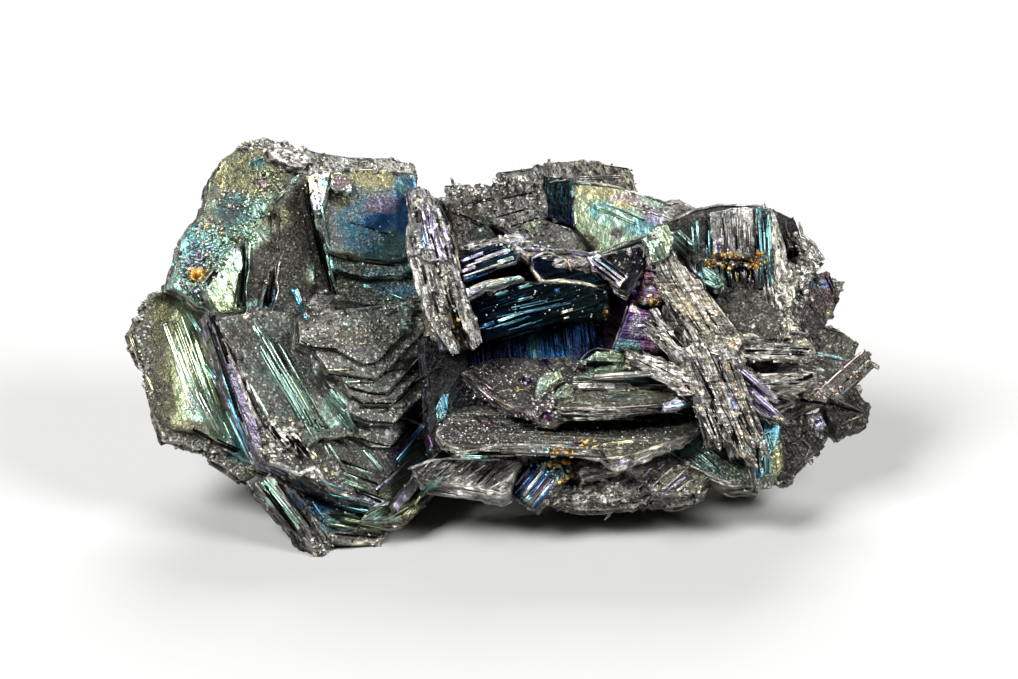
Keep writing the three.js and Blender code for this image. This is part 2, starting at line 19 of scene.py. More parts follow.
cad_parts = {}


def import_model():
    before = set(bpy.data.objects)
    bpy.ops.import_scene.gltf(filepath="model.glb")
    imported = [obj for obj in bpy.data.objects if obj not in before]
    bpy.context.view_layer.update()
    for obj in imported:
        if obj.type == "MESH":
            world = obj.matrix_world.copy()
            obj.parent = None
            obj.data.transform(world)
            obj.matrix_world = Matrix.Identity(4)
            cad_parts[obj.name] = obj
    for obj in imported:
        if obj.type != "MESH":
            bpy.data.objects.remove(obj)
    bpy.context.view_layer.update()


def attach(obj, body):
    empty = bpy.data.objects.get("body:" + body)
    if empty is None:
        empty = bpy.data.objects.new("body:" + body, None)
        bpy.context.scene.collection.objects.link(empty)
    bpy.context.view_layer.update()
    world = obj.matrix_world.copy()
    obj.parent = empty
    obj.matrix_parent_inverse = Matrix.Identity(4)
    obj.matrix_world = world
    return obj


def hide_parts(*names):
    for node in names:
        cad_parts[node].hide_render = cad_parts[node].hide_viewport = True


log = logging.getLogger("polybasite")

CLUSTER_WIDTH = 0.060  # m, the widest reach of the crystals
SQUARE = CLUSTER_WIDTH / 75.2  # m, one square of the drafting sheet
SHEET_TILT = np.radians(65.0)  # how far the sheet is turned up from level
SHEET_CENTRE = (50.6, 34.5)  # across and down of the point that the sheet turns about
UNDERSIDE_DROP = 17.2  # squares from that point straight down to the underside
UNDERSIDE_BACK = 3.0  # squares from that point back to the middle of the underside
OUT = np.array([0.0, 0.0, 1.0])  # the way out of the sheet
SIX_TURNS = np.radians(60.0) * np.arange(6)  # the corners of a hexagon
NODE = "polybasite_cluster"

Array = np.ndarray
Generator = np.random.Generator
Pair = tuple[float, float]
Triple = tuple[float, float, float]
Socket = bpy.types.NodeSocket
Material = bpy.types.Material
Solids = tuple[Array, Array, Array]  # points, face corners and face sizes


class Tarnish(float, Enum):
    """The tarnish film's colours in the order in which a thickening film shows them."""

    SILVER = 0.0
    STRAW = 0.07
    ORANGE = 0.13
    ROSE = 0.20
    MAGENTA = 0.27
    VIOLET = 0.33
    INDIGO = 0.40
    BLUE = 0.47
    AZURE = 0.54
    CYAN = 0.61
    MINT = 0.68
    LEAF = 0.75
    OLIVE = 0.82
    LEMON = 0.88
    PINK = 0.94
    LILAC = 1.0


FILM_COLOURS: dict[Tarnish, Triple] = {
    Tarnish.SILVER: (0.44, 0.435, 0.41),
    Tarnish.STRAW: (0.50, 0.44, 0.29),
    Tarnish.ORANGE: (0.48, 0.29, 0.14),
    Tarnish.ROSE: (0.38, 0.24, 0.23),
    Tarnish.MAGENTA: (0.26, 0.09, 0.22),
    Tarnish.VIOLET: (0.15, 0.08, 0.29),
    Tarnish.INDIGO: (0.05, 0.06, 0.24),
    Tarnish.BLUE: (0.03, 0.14, 0.38),
    Tarnish.AZURE: (0.13, 0.36, 0.50),
    Tarnish.CYAN: (0.25, 0.53, 0.54),
    Tarnish.MINT: (0.42, 0.65, 0.53),
    Tarnish.LEAF: (0.52, 0.62, 0.38),
    Tarnish.OLIVE: (0.36, 0.36, 0.20),
    Tarnish.LEMON: (0.64, 0.60, 0.34),
    Tarnish.PINK: (0.52, 0.40, 0.42),
    Tarnish.LILAC: (0.42, 0.39, 0.54),
}


def film_colour(film: Array) -> Array:
    """Turn places in the order of tarnish colours into colours, three numbers each."""
    keys = [float(key) for key in FILM_COLOURS]
    colours = np.array(list(FILM_COLOURS.values()))
    return np.stack([np.interp(film, keys, colours[:, part]) for part in range(3)], axis=-1)


class Slot(str, Enum):
    """The record's material slots."""

    TARNISHED = "tarnished_sulphide"
    BROKEN = "broken_edge"
    GOLD = "gold_grain"


# ---- tables of words


def value(word: str) -> object:
    """Read a word: a number, a tarnish colour's name, or several of either joined by commas."""
    parts = [Tarnish[part] if part.isalpha() else float(part) if "." in part else int(part)
             for part in word.split(",")]
    return parts[0] if len(parts) == 1 else tuple(parts)


class Row:
    """A table's row: its plain names, its values in order, its values by name, and its places if it has any."""

    def __init__(self, text: str) -> None:
        """Sort the row's words."""
        head, _, line = text.partition("|")
        words = head.split()
        pairs = [word.split("=") for word in words if "=" in word]
        self.names = [word for word in words if word.islower() and "=" not in word]
        self.values = [value(word) for word in words if not word.islower() and "=" not in word]
        self.named = {key: value(word) for key, word in pairs}
        self.places = [[value(word) for word in line.split()]] if line else []


def rows(table: str) -> list[Row]:
    """Read a table whose rows are parted by semicolons."""
    return [Row(text) for text in table.split(";") if text]


# ---- places on the sheet


def unit(vector: Array) -> Array:
    """Return vectors scaled to length one along their last axis."""
    return vector / np.maximum(np.linalg.norm(vector, axis=-1, keepdims=True), 1e-12)


def sheet_point(across: Array, down: Array, depth: Array) -> Array:
    """Turn places on the sheet into vectors with x right, y up and z out of the sheet, in squares."""
    parts = np.broadcast_arrays(across - SHEET_CENTRE[0], SHEET_CENTRE[1] - down, depth)
    return np.stack([np.asarray(part, float) for part in parts], axis=-1)


def to_part(points: Array) -> Array:
    """Turn sheet vectors into the part's metres: x, y cos - z sin, y sin + z cos of the tilt, moved and scaled."""
    cos, sin = np.cos(SHEET_TILT), np.sin(SHEET_TILT)
    x, y, z = points[..., 0], points[..., 1], points[..., 2]
    turned = np.stack([x, y * cos - z * sin - UNDERSIDE_BACK, y * sin + z * cos + UNDERSIDE_DROP], axis=-1)
    return turned * SQUARE


# ---- shells of faces


@dataclass
class Shell:
    """Closed surfaces with what each corner of each face carries."""

    points: Array  # squares
    loops: Array  # the faces' corners, as numbers of points
    sizes: Array  # corners of each face
    uv: Array  # squares along the grain and across it
    film: Array  # the tarnish
    dust: Array  # cover of dark dust
    light: Array  # brightness: painted light and shade, with tone that differs at random
    lined: Array  # strength of the striations
    skin: Array  # of each face: 0 for a tarnished face, 1 for a broken edge

    def __post_init__(self) -> None:
        """Turn the film's places in the order of colours into colours."""
        if self.film.ndim == 1:
            self.film = film_colour(self.film)

    @staticmethod
    def joined(shells: "list[Shell]") -> "Shell":
        """Put shells one after the other, with the corners of each counted on from the last."""
        starts = np.cumsum([0] + [len(shell.points) for shell in shells[:-1]])
        loops = [shell.loops + start for shell, start in zip(shells, starts)]
        names = ("points", "sizes", "uv", "film", "dust", "light", "lined", "skin")
        parts = {name: np.concatenate([getattr(shell, name) for shell in shells]) for name in names}
        return Shell(loops=np.concatenate(loops), **parts)


def closed(rings: int, count: int) -> tuple[Array, Array]:
    """Close rings of points into faces, fanned at both ends around two points that follow them.

    Args:
        rings: How many rings.
        count: Points in each.

    Returns:
        The faces' corners, and how many each face has.
    """
    grid = np.arange(rings * count).reshape(rings, count)
    after = np.roll(grid, -1, axis=1)
    quads = np.stack([grid[:-1], grid[1:], after[1:], after[:-1]], axis=-1)
    cap = np.stack([np.full(count, rings * count), grid[0], after[0]], axis=-1)
    base = np.stack([np.full(count, rings * count + 1), after[-1], grid[-1]], axis=-1)
    loops = np.concatenate([cap.ravel(), quads.ravel(), base.ravel()])
    return loops, np.repeat([3, 4, 3], [count, (rings - 1) * count, count])


def chipped(rng: Generator, outlines: int, count: int, run: float) -> Array:
    """Make broken outlines' offsets: each keeps a random level from 0 to 1 for a random run of samples.

    Args:
        rng: The source of random numbers.
        outlines: How many outlines.
        count: Samples along each.
        run: Mean samples between two breaks.

    Returns:
        A row of levels for each outline.
    """
    block = np.cumsum(rng.random((outlines, count)) < 1.0 / run, axis=1)
    levels = rng.random((outlines, count + 1))
    return np.take_along_axis(levels, block, axis=1)


def shoelace(outline: Array) -> Array:
    """Return twice the signed area of each triangle from the origin to an edge of an outline."""
    after = np.roll(outline, -1, axis=0)
    return outline[:, 0] * after[:, 1] - after[:, 0] * outline[:, 1]


@dataclass(frozen=True)
class Skin:
    """How one crystal's surface looks and how its edges are broken."""

    film: Pair = (Tarnish.SILVER, Tarnish.SILVER)  # tarnish where the flow starts and ends
    flow: Pair = (1.0, 0.3)  # right and down
    dust: float = 0.6
    # brightness of its faces: painted light and shade
    light: float = 1.0
    edge: float = Tarnish.SILVER  # tarnish of the slivers on its edges
    # brightness of its edges: painted light and shade
    edge_light: float = 1.0
    ragged: float = 0.25  # squares that the rim is broken back
    layers: int = 5  # plates in the book
    steps: int = 0  # growth steps on top
    focus: Pair = (0.0, 0.0)  # where the steps shrink to, from -1 to 1 across the crystal
    rise: float = 0.22  # squares for each step
    grain: Pair = (0.45, 0.9)  # the way that the striations run, right and down
    lined: float = 0.25
    fibres: float = 0.3  # strength of the lines on its edges
    broken: bool = False  # whether its face is a broken one


class Strip(IntEnum):
    """What the strip of faces above a ring of a crystal is."""

    FACE = 0
    EDGE = 1
    RISER = 2
    BEVEL = 3
    LEDGE = 4


@dataclass
class Crystal:
    """A flat crystal as a book of thin plates: corners of its top face, the way it faces, and its skin."""

    corners: Array
    facing: Array
    thick: float
    skin: Skin

    PITCH = 0.42  # squares between samples along the rim
    BEVEL = 0.09  # squares
    LONG_BREAK, SHORT_BREAK, PLATE_BREAK, STEP_BREAK = 7, 2.5, 3.5, 6  # mean samples between two breaks
    FACE_PITCH, FEWEST, MOST = 0.9, 3, 16  # squares between the rings of a plain face, and how many
    NARROWED = 0.78  # how far towards the focus the growth steps go
    STEP_FOOT, STEP_BITE = 0.06, 0.28  # squares that a step widens at its foot, and that is broken off it
    WAVE, WAVES = 0.05, 0.9  # squares, how far the plates' edges wave, and radians for each square
    # painted light: bevels and risers are brightened as painted highlights, the ledges between plates and the underside
    # darkened as painted shade
    RISER_TONE, BEVEL_TONE, LEDGE_TONE, UNDERSIDE_TONE = 1.25, 1.5, 0.35, 0.5
    STEP_TONES, PLATE_TONES = (0.85, 1.2), (0.55, 1.35)  # the least and the most
    SLIVERS = 0.05  # spread of the slivers' tarnish

    def __post_init__(self) -> None:
        """Work out the crystal's own axes, with the last along its facing."""
        self.up = unit(np.asarray(self.facing, float))
        side = np.cross(OUT, self.up)
        side = unit(side if np.linalg.norm(side) > 0.05 else np.array([1.0, 0.0, 0.0]))
        side = unit(side - self.up * (side @ self.up))
        self.axes = np.stack([side, np.cross(self.up, side), self.up])
        self.middle = self.corners.mean(axis=0)
        self.outline = (self.corners - self.middle) @ self.axes[:2].T
        if shoelace(self.outline).sum() < 0:
            self.outline = self.outline[::-1].copy()

    def in_plane(self, across: float, down: float) -> Array:
        """Return a sheet direction (right, down) laid into the crystal's plane, along its own axes."""
        flat = self.axes[:2] @ np.array([across, -down, 0.0])
        return flat / max(np.linalg.norm(flat), 1e-9)

    def placed(self, local: Array) -> Array:
        """Return points in the crystal's own two or three axes as points on the sheet."""
        return local @ self.axes[:local.shape[-1]] + self.middle

    def flow_share(self, flat: Array) -> Array:
        """Return how far from 0 to 1 each place has gone along the flow of the crystal's tarnish."""
        flow = self.in_plane(*self.skin.flow)
        spread = self.outline @ flow
        return np.clip((flat @ flow - spread.min()) / np.ptp(spread), 0, 1)

    def rim(self) -> tuple[Array, Array, Array]:
        """Sample the outline evenly along each edge.

        Returns:
            The samples, their outward normals, and the distance run along the rim.
        """
        edge = np.roll(self.outline, -1, axis=0) - self.outline
        length = np.linalg.norm(edge, axis=1)
        counts = np.maximum(2, np.round(length / self.PITCH).astype(int))
        index = np.repeat(np.arange(len(counts)), counts)
        first = np.repeat(np.cumsum(counts) - counts, counts)
        along = (np.arange(len(index)) - first) / counts[index]
        points = self.outline[index] + edge[index] * along[:, None]
        normal = unit(np.stack([edge[:, 1], -edge[:, 0]], axis=1))
        outward = normal[index]
        outward[along == 0] = unit(normal + np.roll(normal, 1, axis=0))
        arc = np.cumsum(np.linalg.norm(points - np.roll(points, 1, axis=0), axis=1))
        return points, outward, arc

    def shell(self, rng: Generator) -> Shell:
        """Build the book: growth steps inside a bevelled rim, then the broken edges of its plates.

        Ring by ring, a point is rim + outward * offset at a height. Inside the rim the ring shrinks towards
        the focus for each growth step; down the side each plate has an offset of its own.

        Args:
            rng: The source of random numbers.

        Returns:
            One closed shell in squares on the sheet.
        """
        skin = self.skin
        points, outward, arc = self.rim()
        count = len(points)
        reach = np.ptp(self.outline, axis=0).max()
        focus = np.asarray(skin.focus) * reach * 0.5
        common = chipped(rng, 1, count, self.LONG_BREAK)[0] * 0.6 + chipped(rng, 1, count, self.SHORT_BREAK)[0] * 0.4
        strips = []
        level = skin.steps * skin.rise
        for step in range(skin.steps, 0, -1):
            scale = 1.0 - self.NARROWED * (step / (skin.steps + 1)) ** 0.9
            bite = chipped(rng, 1, count, self.STEP_BREAK)[0] * self.STEP_BITE * (0.3 + skin.ragged)
            ring = focus + (points - focus) * scale - outward * bite[:, None]
            strips.append((ring, level, Strip.FACE, rng.uniform(*self.STEP_TONES)))
            level -= skin.rise
            strips.append((ring + outward * self.STEP_FOOT, level, Strip.RISER, self.RISER_TONE))
        if not skin.steps:
            rings = int(np.clip(reach / self.FACE_PITCH, self.FEWEST, self.MOST))
            for scale in np.linspace(0, 1, rings + 1)[1:-1]:
                strips.append((focus + (points - focus) * scale, 0.0, Strip.FACE, 1.0))
        bite = skin.ragged * (common - 0.35)
        self.worn = points - outward * bite[:, None]
        strips.append((self.worn - outward * self.BEVEL, 0.0, Strip.FACE, 1.0))
        strips.append((self.worn, -0.7 * self.BEVEL, Strip.BEVEL, self.BEVEL_TONE))
        share = rng.uniform(0.4, 1.6, skin.layers)
        depth = np.cumsum(share) / share.sum() * self.thick
        plates = chipped(rng, skin.layers, count, self.PLATE_BREAK)
        retreat = rng.uniform(-0.5, 0.5, skin.layers)
        wave = self.WAVE * np.sin(arc * self.WAVES + rng.uniform(0, 6))
        for k in range(skin.layers):
            worn = (0.1 + skin.ragged * 0.55) * (plates[k] - 0.4 + 0.5 * retreat[k]) * (k > 0)
            ring = points - outward * (bite + worn)[:, None]
            if k:
                strips.append((ring, wave - depth[k - 1], Strip.LEDGE, self.LEDGE_TONE))
            last = k == skin.layers - 1
            strips.append((ring, wave * (not last) - depth[k], Strip.EDGE, rng.uniform(*self.PLATE_TONES)))
        rings, heights, kinds, tones = zip(*strips)
        heights = np.stack([np.broadcast_to(height, count) for height in heights])
        flat = np.concatenate([np.stack(rings), heights[..., None]], axis=2)
        ends = np.array([[*focus, heights[0, 0]], [*points.mean(axis=0), -self.thick]])
        return self.dress(flat, ends, np.array(kinds), np.array(tones), arc, rng)

    def dress(self, flat: Array, ends: Array, kinds: Array, tones: Array, arc: Array, rng: Generator) -> Shell:
        """Close the rings into faces and give each corner its tarnish, dust and tone, the tone holding painted
        highlights and painted shade.

        Args:
            flat: Rings in the crystal's own axes, from the middle of the top down to the underside.
            ends: The points that close the top and the underside.
            kinds: What the strip above each ring is.
            tones: The brightness of the strip above each ring: painted highlights on bevels and risers, painted shade
                on ledges, and random tone on steps and plates.
            arc: Distance run along the rim.
            rng: The source of random numbers.

        Returns:
            The shell.
        """
        skin = self.skin
        rings, count = flat.shape[:2]
        loops, sizes = closed(rings, count)
        local = np.concatenate([flat.reshape(-1, 3), ends])
        row = np.repeat(np.arange(rings + 1), count)
        kind = np.append(kinds, Strip.EDGE)[row]
        tone = np.append(tones, self.UNDERSIDE_TONE)[row]
        of_face = np.repeat(np.arange(len(sizes)), sizes)
        place = local[loops]
        share = self.flow_share(place[:, :2])
        first, last = film_colour(np.array(skin.film, float))
        slivers = film_colour(skin.edge + rng.normal(0, self.SLIVERS, rings + 1))[row]
        on_face = np.isin(kind, (Strip.FACE, Strip.RISER, Strip.BEVEL))[of_face]
        film = np.where(on_face[:, None], first + (last - first) * share[:, None], slivers[of_face])
        grain = self.in_plane(*skin.grain)
        turned = place[:, :2] @ np.stack([grain, [-grain[1], grain[0]]], axis=1)
        ahead = np.append(arc, arc[-1] + self.PITCH)
        strip = np.tile(np.stack([ahead[:-1], ahead[:-1], ahead[1:], ahead[1:]], axis=1), (rings - 1, 1)).ravel()
        run = np.concatenate([turned[: 3 * count, 0], strip, turned[-3 * count:, 0]])
        wrapped = np.stack([run, place[:, 2] + 0.3 * turned[:, 1] * (kind == Strip.LEDGE)[of_face]], axis=1)
        uv = np.where(on_face[:, None], turned, wrapped) + rng.uniform(0, 40, 2)
        dust = np.where(on_face, skin.dust, 0.35 + 0.2 * skin.ragged)
        # painted light and shade: each corner's brightness is its strip's tone times the skin's light
        light = tone[of_face] * np.where(on_face, skin.light, skin.edge_light)
        lined = np.where(on_face, skin.lined, skin.fibres)
        worn = np.isin(kind, (Strip.EDGE, Strip.LEDGE)) | bool(skin.broken)
        return Shell(self.placed(local), loops, sizes, uv, film, dust, light, lined, worn.astype(int))


# ---- ways to outline a crystal


def outlined(axis: int, skin: Skin, rim: list[Pair], level: float, facing: Triple, thick: float) -> Crystal:
    """Outline a crystal as seen along one axis, and lay it on the plane that faces its way.

    Args:
        axis: The axis to look along: 0 from the side, 1 from above, 2 from the front.
        skin: The crystal's skin.
        rim: The corners' other two of across, down and depth.
        level: The middle's place on that axis.
        facing: The way that the top face looks: right, up and out.
        thick: The thickness in squares.

    Returns:
        The crystal.
    """
    points = sheet_point(*np.insert(np.array(rim, float), axis, level, axis=1).T)
    away = points - points.mean(axis=0)
    away[:, axis] = 0
    points[:, axis] -= away @ np.asarray(facing) / facing[axis]
    return Crystal(points, np.array(facing), thick, skin)


def blade(skin: Skin, path: list[Triple], back: float, thick: float, lean: Pair = (0.0, 0.0)) -> Crystal:
    """Make a plate seen on its edge.

    Args:
        skin: The crystal's skin.
        path: The edge that faces the viewer, as places with their depth.
        back: How far the plate goes back from it.
        thick: The thickness in squares.
        lean: How far right and up the plate leans for each square back.

    Returns:
        The crystal.
    """
    edge = sheet_point(*np.array(path, float).T)
    inward = np.array([*lean, -1.0]) * back
    facing = unit(np.cross(edge[-1] - edge[0], inward))
    flat = edge - np.outer((edge - (edge[0] + edge[-1]) / 2) @ facing, facing)
    return Crystal(np.concatenate([flat, [flat[-1] + inward, flat[0] + inward]]), facing, thick, skin)


def hexagon(skin: Skin, centre: Triple, facing: Triple, thick: float, reach: float, spin: float,
            shorter: float) -> Crystal:
    """Make a six-sided plate whose corners reach out by turns to the long and the shorter reach.

    Args:
        skin: The crystal's skin.
        centre: Across, down and depth of the middle.
        facing: The way that the top face looks.
        thick: The thickness in squares.
        reach: The long reach in squares.
        spin: Degrees that the first corner is turned.
        shorter: The shorter reach as a share of the long one.

    Returns:
        The crystal.
    """
    up = unit(np.array(facing, float))
    first = unit(np.cross([0.0, 1.0, 0.1], up))
    angle = np.radians(spin) + SIX_TURNS
    out = reach * np.where(np.arange(6) % 2, shorter, 1.0)
    corners = np.outer(out * np.cos(angle), first) + np.outer(out * np.sin(angle), np.cross(up, first))
    return Crystal(sheet_point(*centre) + corners, up, thick, skin)


@dataclass(frozen=True)
class Lump:
    """A lump of massive sulphide: its middle, its three radii in squares, a shift of its waves and its tarnish."""

    centre: Triple
    radii: Triple
    phase: float
    film: float

    RINGS, TURNS = 40, 72  # samples between the poles and around
    MEAN, WAVE = 0.96, 0.05  # mean radius and height of the waves, as shares of the radii
    CHIPS = ((0.05, 4), (0.04, 1.5))  # depth of the chips as such a share, and mean samples between them

    def shell(self, rng: Generator) -> Shell:
        """Build the lump: on a grid of latitude and longitude, radius 1 + waves + chips, drawn out to the radii.

        Args:
            rng: The source of random numbers.

        Returns:
            The shell.
        """
        rings, count = self.RINGS, self.TURNS
        polar = np.linspace(0, np.pi, rings + 2)[1:-1, None]
        turn = np.linspace(0, 2 * np.pi, count, endpoint=False)[None]
        parts = (np.sin(polar) * np.cos(turn), np.sin(polar) * np.sin(turn), np.cos(polar))
        ball = np.stack(np.broadcast_arrays(*parts), axis=-1)
        waves = np.sin(5 * ball[..., 0] + self.phase) + np.sin(6 * ball[..., 1] - self.phase) + np.sin(7 * ball[..., 2])
        large, small = (deep * (chipped(rng, rings, count, run) - 0.5) for deep, run in self.CHIPS)
        rough = large + small
        skin = ball * (self.MEAN * (1 + self.WAVE * waves + rough))[..., None]
        loops, sizes = closed(rings, count)
        local = np.concatenate([skin.reshape(-1, 3), [self.MEAN * OUT, -self.MEAN * OUT]])
        size = len(loops)
        light = np.repeat(rng.uniform(0.25, 0.6, len(sizes)), sizes)
        return Shell(sheet_point(*self.centre) + local * np.array(self.radii), loops, sizes, local[loops][:, :2] * 8,
                     np.full(size, self.film), np.full(size, 0.8), light, np.full(size, 0.1), np.ones(len(sizes), int))


# ---- small growths on the crystals


def prisms(low: Array, high: Array) -> Solids:
    """Close many prisms at once.

    Args:
        low: The rings underneath, counterclockwise from above: prism, corner, xyz.
        high: The rings above them.

    Returns:
        The prisms, with one face for each cap.
    """
    many, corners = low.shape[:2]
    points = np.concatenate([low, high], axis=1).reshape(-1, 3)
    ring = np.arange(corners)
    after = np.roll(ring, -1)
    walls = np.stack([ring, after, after + corners, ring + corners], axis=1).ravel()
    pattern = np.concatenate([walls, ring + corners, ring[::-1]])
    loops = (np.arange(many)[:, None] * 2 * corners + pattern).ravel()
    return points, loops, np.tile([4] * corners + [corners] * 2, many)


def growth(solids: Solids, film: Array, dust: float, light: Array, worn: int) -> Shell:
    """Dress many small closed growths.

    Args:
        solids: The growths, with as many faces on each.
        film: The tarnish of each.
        dust: The dust on all of them.
        light: The tone of each.
        worn: 0 for a tarnished face, 1 for a broken edge.

    Returns:
        The shell.
    """
    points, loops, sizes = solids
    of_face = np.repeat(np.repeat(np.arange(len(film)), len(sizes) // max(len(film), 1)), sizes)
    return Shell(points, loops, sizes, points[loops][:, :2] * 1.3, film[of_face], np.full(len(loops), dust),
                 light[of_face], np.zeros(len(loops)), np.full(len(sizes), worn))


RIB_TOP = 0.6  # width of a rib's top as a share of its foot's
RIB_TUCK, RIB_TUCK_SHARE = 0.25, 0.2  # how far a rib's end leans in: squares, and at most this share of its length
RIB_FOOT = 0.06  # squares that a rib's foot is sunk


def ribs_between(start: Array, end: Array, up: Array, width: Array, height: Array) -> Solids:
    """Make raised ribs, low prisms with a narrower top.

    Args:
        start: Where each rib starts.
        end: Where each ends.
        up: The way that the surface under it faces.
        width: The width of its foot.
        height: Its height.

    Returns:
        The ribs.
    """
    along = unit(end - start)
    across = unit(np.cross(up, along)) * width[:, None] / 2
    rise = unit(np.cross(along, across)) * height[:, None]
    tuck = along * np.minimum(RIB_TUCK, np.linalg.norm(end - start, axis=1) * RIB_TUCK_SHARE)[:, None]
    foot = rise * (-RIB_FOOT / height[:, None])
    top = across * RIB_TOP
    low = np.stack([start - across, end - across, end + across, start + across], axis=1) + foot[:, None]
    high = np.stack([start - top + tuck, end - top - tuck, end + top - tuck, start + top + tuck], axis=1)
    return prisms(low, high + rise[:, None])


def flakes(rng: Generator, middle: Array, up: Array, first: Array, size: Pair, half: Pair,
           narrow: float = 1.0) -> Solids:
    """Make six-cornered flakes: a corner is middle + (first cos a + second sin a) * a reach of its own.

    Args:
        rng: The source of random numbers.
        middle: The middle of each.
        up: The way that each faces.
        first: The way that each is drawn out.
        size: The least and the most mean reach.
        half: The least and the most half thickness.
        narrow: Under 1 it makes them narrow and long.

    Returns:
        The flakes.
    """
    many = len(middle)
    angle = SIX_TURNS + rng.uniform(0, 1, (many, 1))
    reach = rng.uniform(*size, (many, 1)) * rng.uniform(0.6, 1.3, (many, 6))
    ring = (first[:, None] * (reach * np.cos(angle) / narrow ** 0.7)[..., None]
            + np.cross(up, first)[:, None] * (reach * np.sin(angle) * narrow)[..., None] + middle[:, None])
    thick = up[:, None] * rng.uniform(*half, (many, 1))[..., None]
    return prisms(ring - thick, ring + thick)


@dataclass(frozen=True)
class Striae:
    """Ribs along the grain of a face, so many to a square of it."""

    density: float

    MARGIN, CHORD, SHORTEST = 0.25, 0.8, 0.5  # squares: off the rim, the least chord, the shortest rib
    WIDTH, HEIGHT = (0.1, 0.32), (0.04, 0.13)  # squares
    TONES = {0.25: 0.3, 0.6: 0.3, 1.1: 0.25, 1.9: 0.15}  # each tone and how often it comes

    def shell(self, crystal: Crystal, rng: Generator) -> Shell:
        """Lay each rib on a random part of the chord where it lies.

        Args:
            crystal: The crystal.
            rng: The source of random numbers.

        Returns:
            The ribs.
        """
        skin = crystal.skin
        grain = crystal.in_plane(*skin.grain)
        cross = np.array([-grain[1], grain[0]])
        along, over = crystal.outline @ grain, crystal.outline @ cross
        next_along, next_over = np.roll(along, -1), np.roll(over, -1)
        count = max(2, int(shoelace(crystal.outline).sum() / 2 * self.density))
        level = rng.uniform(over.min() * 0.96, over.max() * 0.96, count)[:, None]
        crossing = (over - level) * (next_over - level) < 0
        gap = np.where(crossing, next_over - over, 1.0)
        where = along + (next_along - along) * (level - over) / gap
        low = np.where(crossing, where, np.inf).min(axis=1) + self.MARGIN
        high = np.where(crossing, where, -np.inf).max(axis=1) - self.MARGIN
        keep = high - low > self.CHORD
        low, high, level = low[keep], high[keep], level[keep, 0]
        first = low + (high - low) * rng.beta(0.7, 1.6, len(low))
        last = first + (high - first) * rng.beta(1.2, 1.4, len(low))
        last = np.maximum(last, np.minimum(first + self.SHORTEST, high))
        share = crystal.flow_share(np.outer((first + last) / 2, grain) + np.outer(level, cross))
        film = skin.film[0] + (skin.film[1] - skin.film[0]) * share + rng.normal(0, 0.03, len(share))
        light = skin.light * rng.choice(list(self.TONES), len(film), p=list(self.TONES.values()))
        start = crystal.placed(np.outer(first, grain) + np.outer(level, cross))
        end = crystal.placed(np.outer(last, grain) + np.outer(level, cross))
        up = np.broadcast_to(crystal.up, start.shape)
        width, height = rng.uniform(*self.WIDTH, len(film)), rng.uniform(*self.HEIGHT, len(film))
        ribs = ribs_between(start, end, up, width, height)
        return growth(ribs, film, skin.dust * 0.8, light, int(skin.broken))


@dataclass(frozen=True)
class Chips:
    """Broken fragments along a crystal's rim, so many to a sample of it, narrow where it is fibrous."""

    density: float

    SIZE, HALF = np.array([0.12, 0.55]), (0.03, 0.1)  # squares, the least and the most reach and half thickness
    TILT = 0.28  # spread of the tilt
    TONES = (0.4, 0.9, 1.5)
    NARROW, PULL = 0.4, 4  # on a fibrous crystal: how narrow, and how strongly its grain turns them

    def shell(self, crystal: Crystal, rng: Generator) -> Shell:
        """Scatter thin flakes tilted at random along the rim and down its side.

        Args:
            crystal: The crystal, already built.
            rng: The source of random numbers.

        Returns:
            The fragments.
        """
        outward = crystal.rim()[1]
        count = max(3, int(len(outward) * self.density))
        pick = rng.integers(0, len(outward), count)
        skin = crystal.skin
        off = rng.uniform(-0.9, 0.05, count) * (0.3 + skin.ragged)
        flat = crystal.worn[pick] + outward[pick] * off[:, None]
        height = -crystal.thick * rng.beta(0.8, 1.5, count) + 0.05
        middle = crystal.placed(np.concatenate([flat, height[:, None]], axis=1))
        up = unit(crystal.up + rng.normal(0, self.TILT, (count, 3)))
        along = np.append(crystal.in_plane(*skin.grain), 0.0) @ crystal.axes * (self.PULL if skin.broken else 0)
        first = unit(np.cross(up, np.cross(along + rng.normal(0, 1, (count, 3)), up)))
        size = self.SIZE * (0.6 + 0.6 * skin.ragged)
        solids = flakes(rng, middle, up, first, size, self.HALF, self.NARROW if skin.broken else 1.0)
        film = skin.edge + rng.normal(0, 0.03, count)
        return growth(solids, film, 0.3, skin.edge_light * rng.choice(self.TONES, count), 1)


